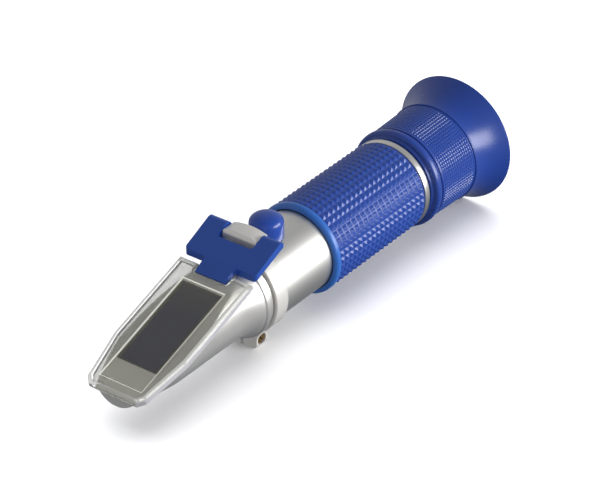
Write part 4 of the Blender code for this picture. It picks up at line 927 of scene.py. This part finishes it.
@dataclass
class PrismHead:
    """The wedge-shaped casting, the glass in its pad and the rubber frame round the glass."""

    points: int = 112
    bore: float = 7.0
    bell_steps: int = 12
    nose_steps: int = 20
    half_width: float = 11.1
    top: float = 11.5
    depth: float = 8.8
    squareness: float = 2.2
    nose_depth: float = 8.3
    pad_start: float = 6.3
    pad_end: float = 43.2
    pad_half_width: float = 7.5
    pad_rim: float = 0.45
    pocket_end: float = 36.8
    glass_depth: float = 4.6
    seal_wall: float = 0.4
    seal_side: float = 0.9
    seat_gap: float = 0.03

    def section(
        self, bm: bmesh.types.BMesh, station: float, width: float, top: float, depth: float, square: float
    ) -> list[bmesh.types.BMEdge]:
        """Add one cross-section of the casting.

        Args:
            bm: The mesh being lofted.
            station: Where it stands.
            width: Half its width.
            top: Its height above the axis.
            depth: Its depth below the axis.
            square: 2 for round, more for squarer.

        Returns:
            The section's edges.
        """
        verts = bmesh.ops.create_circle(bm, cap_ends=False, radius=1, segments=self.points)["verts"]
        for vert in verts:
            across_share = math.copysign(abs(vert.co.x) ** (2 / square), vert.co.x)
            up_share = math.copysign(abs(vert.co.y) ** (2 / square), vert.co.y)
            vert.co = (station, width * across_share, (top if up_share > 0 else depth) * up_share)
        return list({edge for vert in verts for edge in vert.link_edges})

    def sections(self) -> list[tuple[float, float, float, float, float]]:
        """List the casting's cross-sections: spigot, neck, ring, bell, box and nose."""
        turned = [
            (95.2, 10.7), (95.9, 10.7), (95.9, 9.6), (97.4, 9.6), (97.4, 10.7), (98.4, 10.7), (98.4, 11.6),
            (103.9, 11.6), (103.9, 12.1), (104.0, 12.2), (105.3, 12.2), (105.4, 12.3), (105.4, 12.7),
            (105.6, 12.9), (106.95, 12.9), (107.2, 12.75), (107.4, 12.4),
        ]
        listed = [(station, radius, radius, radius, 2.0) for station, radius in turned]
        for step in range(self.bell_steps + 1):
            share = step / self.bell_steps
            ease = 1 - (1 - share) ** 2
            listed.append((
                108.1 + 8.5 * share,
                12.4 + (self.half_width - 12.4) * ease,
                12.4 + (self.top - 12.4) * ease,
                12.4 + (self.depth - 12.4) * ease,
                2 + (self.squareness - 2) * ease,
            ))
        for step in range(self.nose_steps + 1):
            turn = math.pi / 2 * step / self.nose_steps
            along = math.sin(turn)
            narrower = 1 - math.cos(turn) ** 0.62 * (1 - 0.12 * along)
            shallower = along ** 7
            listed.append((
                141.6 + 15.2 * along,
                self.half_width + (6.9 - self.half_width) * min(1.0, 0.62 * along + 0.38 * narrower),
                self.top,
                self.depth + (self.nose_depth - self.depth) * shallower,
                self.squareness,
            ))
        return listed

    def face_plan(self, start: float, end: float, half_width: float, corner: float) -> list[Corner]:
        """Give a rounded rectangle on the sloping face."""
        return mirrored([(start, half_width, corner), (end, half_width, corner)])

    def glass_outline(self, grow: float) -> list[Corner]:
        """Give the prism's side view, grown outward by a clearance."""
        rear = face_point(self.pad_start + self.pad_rim + self.seal_wall, PAD_LEVEL)
        front = face_point(self.pocket_end - self.seal_wall, PAD_LEVEL)
        return [
            (rear.x - grow, -self.glass_depth - grow, 0),
            (front.x - 1.4 + grow, -self.glass_depth - grow, 0),
            (front.x + grow, front.y, 0),
            (rear.x - grow, rear.y, 0),
        ]

    def casting(self) -> bpy.types.Object:
        """Loft the casting, cut the sloping deck, raise the pad and open the pocket."""
        bm = bmesh.new()
        loops = [self.section(bm, *sizes) for sizes in self.sections()]
        for near, far in zip(loops, loops[1:]):
            bmesh.ops.bridge_loops(bm, edges=near + far)
        bmesh.ops.holes_fill(bm, edges=bm.edges, sides=self.points)
        bm = tidied(bm)
        deck = [face_point(-5.4, DECK_LEVEL), face_point(60, DECK_LEVEL)]
        above = [(deck[0].x, deck[0].y, 0), (deck[1].x, deck[1].y, 0), (deck[1].x, 40, 0), (deck[0].x, 40, 0)]
        pocket_half = self.pad_half_width - self.pad_rim
        pocket = self.face_plan(self.pad_start + self.pad_rim, self.pocket_end, pocket_half, 0.5)
        half = self.glass_half()
        tools = [
            (Operation.CUT, extruded(above, -30, 30, SIDEWAYS)),
            (Operation.JOIN, extruded(
                self.face_plan(self.pad_start, self.pad_end, self.pad_half_width, 0.3), -2.9, PAD_LEVEL, FACE
            )),
            (Operation.CUT, extruded(pocket, PAD_LEVEL - 2.0, PAD_LEVEL + 2, FACE)),
            (Operation.CUT, extruded(self.glass_outline(0.3), -half, half, SIDEWAYS)),
            (Operation.CUT, spun(rod_corners(90, 122, self.bore), 64)),
        ]
        bm = softened(combined(bm, tools), 0.22, 32)
        # The deck and pad take the matt deck finish, whose pale tone is partly painted light.
        to_face = FACE.inverted()
        for face in bm.faces:
            level = (to_face @ face.calc_center_median()).z
            if (to_face.to_3x3() @ face.normal).z > 0.98 and DECK_LEVEL - 0.1 < level < PAD_LEVEL + 0.1:
                face.material_index = 1
        casting = make_piece(
            "casting", bm, CAST_ALUMINIUM, Body.INSTRUMENT, ["prism_box"], 40, True
        )
        casting.data.materials.append(MATT_DECK_PAINTED_LIGHT.material())
        return casting

    def glass(self) -> bpy.types.Object:
        """Build the measuring prism with fine polished chamfers."""
        half = self.glass_half()
        bm = softened(extruded(self.glass_outline(0), -half, half, SIDEWAYS), 0.08, 30, 1)
        return make_piece(
            "prism", bm, PRISM_GLASS, Body.INSTRUMENT, ["measuring_prism"], 20
        )

    def glass_half(self) -> float:
        """Give half the glass's width."""
        return self.pad_half_width - self.pad_rim - self.seal_side

    def seal(self) -> bpy.types.Object:
        """Build the bead of sealing compound that frames the glass in its pocket."""
        gap = self.seat_gap
        outer = self.glass_half() + self.seal_side - gap
        inner = self.glass_half() + gap
        start, end = self.pad_start + self.pad_rim + gap, self.pocket_end - gap
        bead = extruded(self.face_plan(start, end, outer, 0.5), PAD_LEVEL - 1.9, PAD_LEVEL - 0.12, FACE)
        bore = extruded(self.glass_outline(gap), -inner, inner, SIDEWAYS)
        bm = softened(combined(bead, [(Operation.CUT, bore)]), 0.05, 40, 1)
        return make_piece(
            "prism_bead", bm, SEAL_COMPOUND, Body.INSTRUMENT, ["prism_seal"], 30
        )

    def build(self) -> list[bpy.types.Object]:
        """Build the casting, the glass and its bead, and dress the neck's ring."""
        dress("neck_oring", NITRILE)
        return [self.casting(), self.glass(), self.seal()]


@dataclass
class DaylightCover:
    """The clear daylight plate and the forked bracket that it hangs on."""

    length: float = 47.3
    rear: float = 0.3
    half_width: float = 12.6
    shoulder: float = 30.3
    cheek_half_width: float = 10.0
    tip_half_width: float = 8.2
    tip: float = 2.0
    panel: float = 1.5
    plateau: float = 0.3
    plateau_start: float = 6.0
    plateau_end: float = 43.9
    plateau_half_width: float = 7.4
    rim_bevel: float = 0.28
    rear_wall: float = 1.1
    rear_skirt: float = 1.95
    skirt: float = 2.2
    wall: float = 1.1
    front_wall: float = 1.5
    edge: float = 0.1
    bevel_width: float = 1.2
    bevel_drop: float = 0.7
    notch_half_width: float = 6.2
    notch_end: float = 3.8
    pin_station: float = 101.4
    pin_height: float = 16.0
    slope: float = math.radians(21.35)
    tongue_slope: float = math.radians(29.2)
    bracket_half_width: float = 12.4
    bracket_back: float = 3.0
    bracket_top: float = 1.7
    web: float = 4.1
    fork_half_width: float = 6.1
    tongue_half_width: float = 5.1
    clamp_room: float = 13.3
    pin_hole: float = 1.05
    pin_reach: float = 11.6
    eye_radius: float = 1.9
    arm: float = 9.95

    def plan(self, inset: float) -> list[Corner]:
        """Give the plate's outline, drawn in by an inset."""
        start, end = self.rear + inset, self.rear + self.length - inset
        return mirrored([
            (start, self.half_width - inset, 0),
            (self.shoulder, self.half_width - inset, 0),
            (end - self.tip, self.cheek_half_width - inset, 0),
            (end, self.tip_half_width - inset / 2, 0),
        ])

    def plate(self) -> bpy.types.Object:
        """Build the clear plate: a bevelled panel, a skirt round it and a notch at its rear."""
        bm = outline_mesh(self.plan(0))
        bmesh.ops.translate(bm, verts=bm.verts, vec=(0, 0, -self.skirt))
        top = bmesh.ops.extrude_face_region(bm, geom=list(bm.faces))["geom"]
        verts = [item for item in top if isinstance(item, bmesh.types.BMVert)]
        bmesh.ops.translate(bm, verts=verts, vec=(0, 0, self.skirt - self.bevel_drop))
        roof = [item for item in top if isinstance(item, bmesh.types.BMFace)]
        bmesh.ops.recalc_face_normals(bm, faces=bm.faces)
        bmesh.ops.inset_region(
            bm, faces=roof, thickness=self.bevel_width, depth=self.bevel_drop, use_even_offset=True
        )
        bm = moved(bm, FACE)
        inner = self.plan(self.wall)
        back, front = self.rear + self.rear_wall, self.rear + self.length - self.front_wall
        inner = [(back if x < 3 else front if x > 45 else x, y, 0.3) for x, y, _ in inner]
        notch = mirrored([(-2, self.notch_half_width, 0), (self.notch_end, self.notch_half_width, 0.8)])
        under = mirrored([(-2, self.half_width + 2, 0), (back + 0.2, self.half_width + 2, 0)])
        plateau = mirrored([
            (self.plateau_start, self.plateau_half_width, 0), (self.plateau_end, self.plateau_half_width, 0),
        ])
        raised = extruded(plateau, -self.panel, self.plateau - self.panel + 0.1, FACE)
        low = min(self.level(face) for face in raised.faces)
        rim = [edge for face in raised.faces if self.level(face) < low + 0.01 for edge in face.edges]
        bmesh.ops.bevel(
            raised,
            geom=rim,
            offset=self.rim_bevel,
            offset_type="OFFSET",
            segments=1,
            profile=0.5,
            affect="EDGES",
            material=-1,
        )
        tools = [
            (Operation.CUT, extruded(inner, -6, self.plateau - self.panel, FACE)),
            (Operation.CUT, extruded(under, -6, -self.rear_skirt, FACE)),
            (Operation.JOIN, raised),
            (Operation.CUT, extruded(notch, -6, 3, FACE)),
        ]
        bm = softened(combined(tidied(bm), tools), self.edge, 20)
        self.etch_and_paint_glow(bm)
        plate = make_piece(
            "clear_plate", bm, ACRYLIC, Body.COVER, ["daylight_plate"], 28, True
        )
        for finish in (FROSTED_ACRYLIC_PAINTED_GLOW, ETCHED_RIM_PAINTED_GLOW, HAZY_ACRYLIC):
            plate.data.materials.append(finish.material())
        return plate

    def level(self, face: bmesh.types.BMFace) -> float:
        """Give a face's level above the sloping face."""
        return (FACE.inverted() @ face.calc_center_median()).z

    def etch_and_paint_glow(self, bm: bmesh.types.BMesh) -> None:
        """Etch the skirt's outer faces and the plateau's edge, both with a painted glow, faint on the skirt
        and strong on the edge, and lightly the panel's border below.
        """
        to_face = FACE.inverted()
        ceiling = self.plateau - self.panel
        for face in bm.faces:
            place = to_face @ face.calc_center_median()
            lean = to_face.to_3x3() @ face.normal
            outside = lean.y * place.y > 0 and abs(place.y) > self.plateau_half_width + 0.4
            to_edge = min(
                abs(abs(place.y) - self.plateau_half_width),
                abs(place.x - self.plateau_start),
                abs(place.x - self.plateau_end),
            )
            if abs(lean.z) < 0.5 and outside and place.z > -self.skirt:
                face.material_index = 1
            # The plateau's edge takes the rim finish, whose strong painted glow shows it as a bright line.
            elif lean.z > -0.95 and -self.panel < place.z < ceiling + 0.02 and to_edge < 0.35:
                face.material_index = 2
            elif place.x < self.rear + self.rear_wall + 0.1 and lean.z < 0.3:
                face.material_index = 3
            elif (lean.z < -0.95 and abs(place.z - ceiling) < 0.05) or 0.5 < lean.z < 0.95:
                face.material_index = 3

    def arm_point(self, along: float, offset: float) -> tuple[float, float]:
        """Give the station and height of a place on the bracket, from the pin."""
        return (
            self.pin_station + along * math.cos(self.slope) + offset * math.sin(self.slope),
            self.pin_height - along * math.sin(self.slope) + offset * math.cos(self.slope),
        )

    def arm_frame(self) -> Matrix:
        """Map (across, offset, along) in the bracket's arm to the instrument's frame."""
        turn = Matrix(((0, 0, 1, 0), (1, 0, 0, 0), (0, 1, 0, 0), (0, 0, 0, 1)))
        place = Matrix.Translation((self.pin_station, 0, self.pin_height))
        return place @ Matrix.Rotation(self.slope, 4, "Y") @ turn

    def bracket(self) -> bpy.types.Object:
        """Build the T-shaped bracket with its fork and its steeper tongue."""
        radius, top = self.eye_radius, self.bracket_top
        turns = [math.pi * step / 16 for step in range(17)]
        eye = radius - self.bracket_back
        side = [
            (*self.arm_point(eye - radius * math.sin(turn), 0.3 - radius * math.cos(turn)), 0)
            for turn in turns
        ]
        bend = self.arm_point(self.arm, top)
        lean = Vector((math.cos(self.tongue_slope), -math.sin(self.tongue_slope)))
        down = Vector((-math.sin(self.tongue_slope), -math.cos(self.tongue_slope)))
        tip = Vector(bend) + lean * 5.7
        side += [(*bend, 0), (*tip, 0), (*(tip + down * 1.8), 0), (*(Vector(bend) + down * 1.8), 0)]
        side += [(*self.arm_point(self.arm - 1.4, top - 2.6), 0), (*self.arm_point(4.2, top - 2.6), 0)]
        wide = self.bracket_half_width
        back = self.pin_station - self.bracket_back
        fork = self.arm_point(self.web, 0)[0]
        bar = face_point(self.rear, -self.skirt).x - 1.1
        plan = mirrored([
            (fork, self.fork_half_width, 0.8), (back, self.fork_half_width, 0), (back, wide, 1.2),
            (bar, wide, 1.0), (bar, self.tongue_half_width, 0.8), (bar + 6.3, self.tongue_half_width, 0),
        ])
        hinge = across(self.pin_station, self.pin_height)
        pin_bore = spun(rod_corners(-self.pin_reach, self.pin_reach, self.pin_hole), 32)
        tools = [
            (Operation.KEEP, extruded(plan, 0, 24)),
            (Operation.CUT, spun(rod_corners(back - 2, 108.7, self.clamp_room), 144)),
            (Operation.CUT, moved(pin_bore, hinge)),
        ]
        for sign in (-1, 1):
            under = [
                (sign * (wide + 1), -0.1, 0), (sign * wide, -0.1, 0), (sign * (wide - 1.6), -2.2, 0),
                (sign * (wide + 1), -2.2, 0),
            ]
            tools.append((Operation.CUT, extruded(under, -6, 12, self.arm_frame())))
        bm = combined(extruded(side, -wide, wide, SIDEWAYS), tools)
        bm = softened(bm, 0.3, 28)
        return make_piece(
            "bracket", bm, BRACKET_ABS, Body.COVER, ["hinge_bracket"], 40, True
        )

    def build(self) -> list[bpy.types.Object]:
        """Build the plate and the bracket."""
        return [self.plate(), self.bracket()]


@dataclass
class InnerParts:
    """What stands inside: lenses, scale, stop, compensator and screws, kept as packed."""

    def build(self) -> None:
        """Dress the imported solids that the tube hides."""
        finishes = {
            BLACK_ANODISED: (
                "eyepiece_barrel", "lens_retaining_ring", "lens_spacer", "reticle_ring", "reticle_seat",
                "light_stop", "compensator_mount",
            ),
            OPTICAL_GLASS: ("eye_lens", "field_lens", "reticle", "objective_lens"),
            BRASS: ("guide_pin", "objective_carriage"),
            BIMETAL: ("bimetal_strip",),
            STEEL: ("calibration_screw", "hinge_pin"),
            BRIGHT_ALUMINIUM: ("screw_bush",),
        }
        for finish, nodes in finishes.items():
            for node in nodes:
                dress(node, finish)


@dataclass
class Studio:
    """The pale floor, the soft lights and the camera."""

    camera_place: tuple[float, float, float] = (0.557231, 0.440431, 0.45615)
    camera_turn: tuple[float, float, float] = (57.494, 0.9249, 127.5603)
    lens: float = 180.034
    tones: tuple[tuple[float, str], ...] = (
        (-1.0, "585A60"), (-0.7, "808288"), (-0.3, "B2B2B5"), (0.0, "CCCCCA"), (0.55, "C2C2C2"),
        (0.95, "9C9DA2"),
    )
    floor_low: float = 20.0
    floor_slope: float = math.radians(1.248)
    card_place: tuple[float, float, float] = (-0.42, 1.0, 0.27)
    card_size: tuple[float, float] = (1.0, 0.5)
    card_power: float = 14.0
    sweep_place: tuple[float, float, float] = (-0.1, -0.2, 0.8)
    sweep_size: tuple[float, float] = (1.3, 1.3)
    sweep_power: float = 12.0

    def camera(self) -> None:
        """Put the camera where the photograph was taken from."""
        data = bpy.data.cameras.new("camera")
        data.lens = self.lens
        data.sensor_width = 36.0
        data.clip_start = 0.01
        data.clip_end = 50.0
        camera = bpy.data.objects.new("camera", data)
        camera.location = self.camera_place
        camera.rotation_euler = [math.radians(angle) for angle in self.camera_turn]
        bpy.context.scene.collection.objects.link(camera)
        bpy.context.scene.camera = camera

    def floor(self) -> bpy.types.Object:
        """Lay a pale floor under the eyecup's rim and the clamp's ears.

        Its white is for the camera: what the instrument mirrors from below is the darker
        tone of the surroundings, as if the light on the floor stopped short of its flanks.

        Returns:
            The floor.
        """
        bm = bmesh.new()
        bmesh.ops.create_grid(bm, x_segments=2, y_segments=2, size=1.0)
        bmesh.ops.rotate(bm, verts=bm.verts, matrix=Matrix.Rotation(-self.floor_slope, 3, "Y"))
        lift = -self.floor_low * MM - RIM * math.tan(self.floor_slope)
        bmesh.ops.translate(bm, verts=bm.verts, vec=(0, 0, lift))
        floor = as_object("floor", bm)
        paper = Finish("white_paper_sweep", "F4F4F6", 0.85)
        floor.data.materials.append(paper.material())
        floor.visible_diffuse = False
        floor.visible_glossy = False
        return floor

    def area(
        self, name: str, place: Sequence[float], size: tuple[float, float], power: float
    ) -> bpy.types.Object:
        """Hang a soft box that faces the instrument.

        Args:
            name: The lamp's name.
            place: Where it hangs.
            size: Its width and height.
            power: Its power in watts.

        Returns:
            The lamp.
        """
        data = bpy.data.lights.new(name, "AREA")
        data.shape = "RECTANGLE"
        data.size, data.size_y = size
        data.energy = power
        lamp = bpy.data.objects.new(name, data)
        lamp.location = place
        lamp.rotation_euler = (-Vector(place)).to_track_quat("-Z", "Y").to_euler()
        bpy.context.scene.collection.objects.link(lamp)
        return lamp

    def surroundings(self) -> None:
        """Surround the instrument with soft greys, lightest at the horizon."""
        world = bpy.data.worlds.new("studio")
        world.use_nodes = True
        tree = world.node_tree
        direction = add_node(tree, "TexCoord").outputs["Generated"]
        height = add_node(tree, "SeparateXYZ", {}, {0: direction}).outputs["Z"]
        share = add_node(tree, "MapRange", {1: -1.0, 2: 1.0, 3: 0.0, 4: 1.0}, {0: height})
        ramp = add_node(tree, "ValToRGB", {}, {0: share.outputs[0]})
        stops = ramp.color_ramp.elements
        for _ in range(len(self.tones) - len(stops)):
            stops.new(1.0)
        for stop, (level, tone) in zip(stops, self.tones):
            stop.position = (level + 1) / 2
            stop.color = linear(tone)
        tree.links.new(ramp.outputs["Color"], tree.nodes["Background"].inputs["Color"])
        tree.nodes["Background"].inputs["Strength"].default_value = 1.0
        bpy.context.scene.world = world

    def build(self) -> None:
        """Set up the camera, the floor and the lights."""
        self.camera()
        floor = self.floor()
        self.surroundings()
        bpy.context.scene.view_settings.view_transform = "Standard"
        self.area("right_card", self.card_place, self.card_size, self.card_power)
        sweep = bpy.data.collections.new("sweep")
        sweep.objects.link(floor)
        above = self.area("sweep_light", self.sweep_place, self.sweep_size, self.sweep_power)
        above.light_linking.receiver_collection = sweep


def main() -> None:
    """Build the studio and each sub-assembly."""
    logging.basicConfig(level=logging.INFO, format="%(name)s %(message)s")
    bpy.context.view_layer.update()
    Studio().build()
    InnerParts().build()
    assemblies = (
        EyepieceEnd(), Grip(), TubeAndRings(), Calibration(), Clamp(), PrismHead(), DaylightCover(),
    )
    for assembly in assemblies:
        assembly.build()
        log.info("%s built", type(assembly).__name__)


if __name__ == "__main__":
    main()
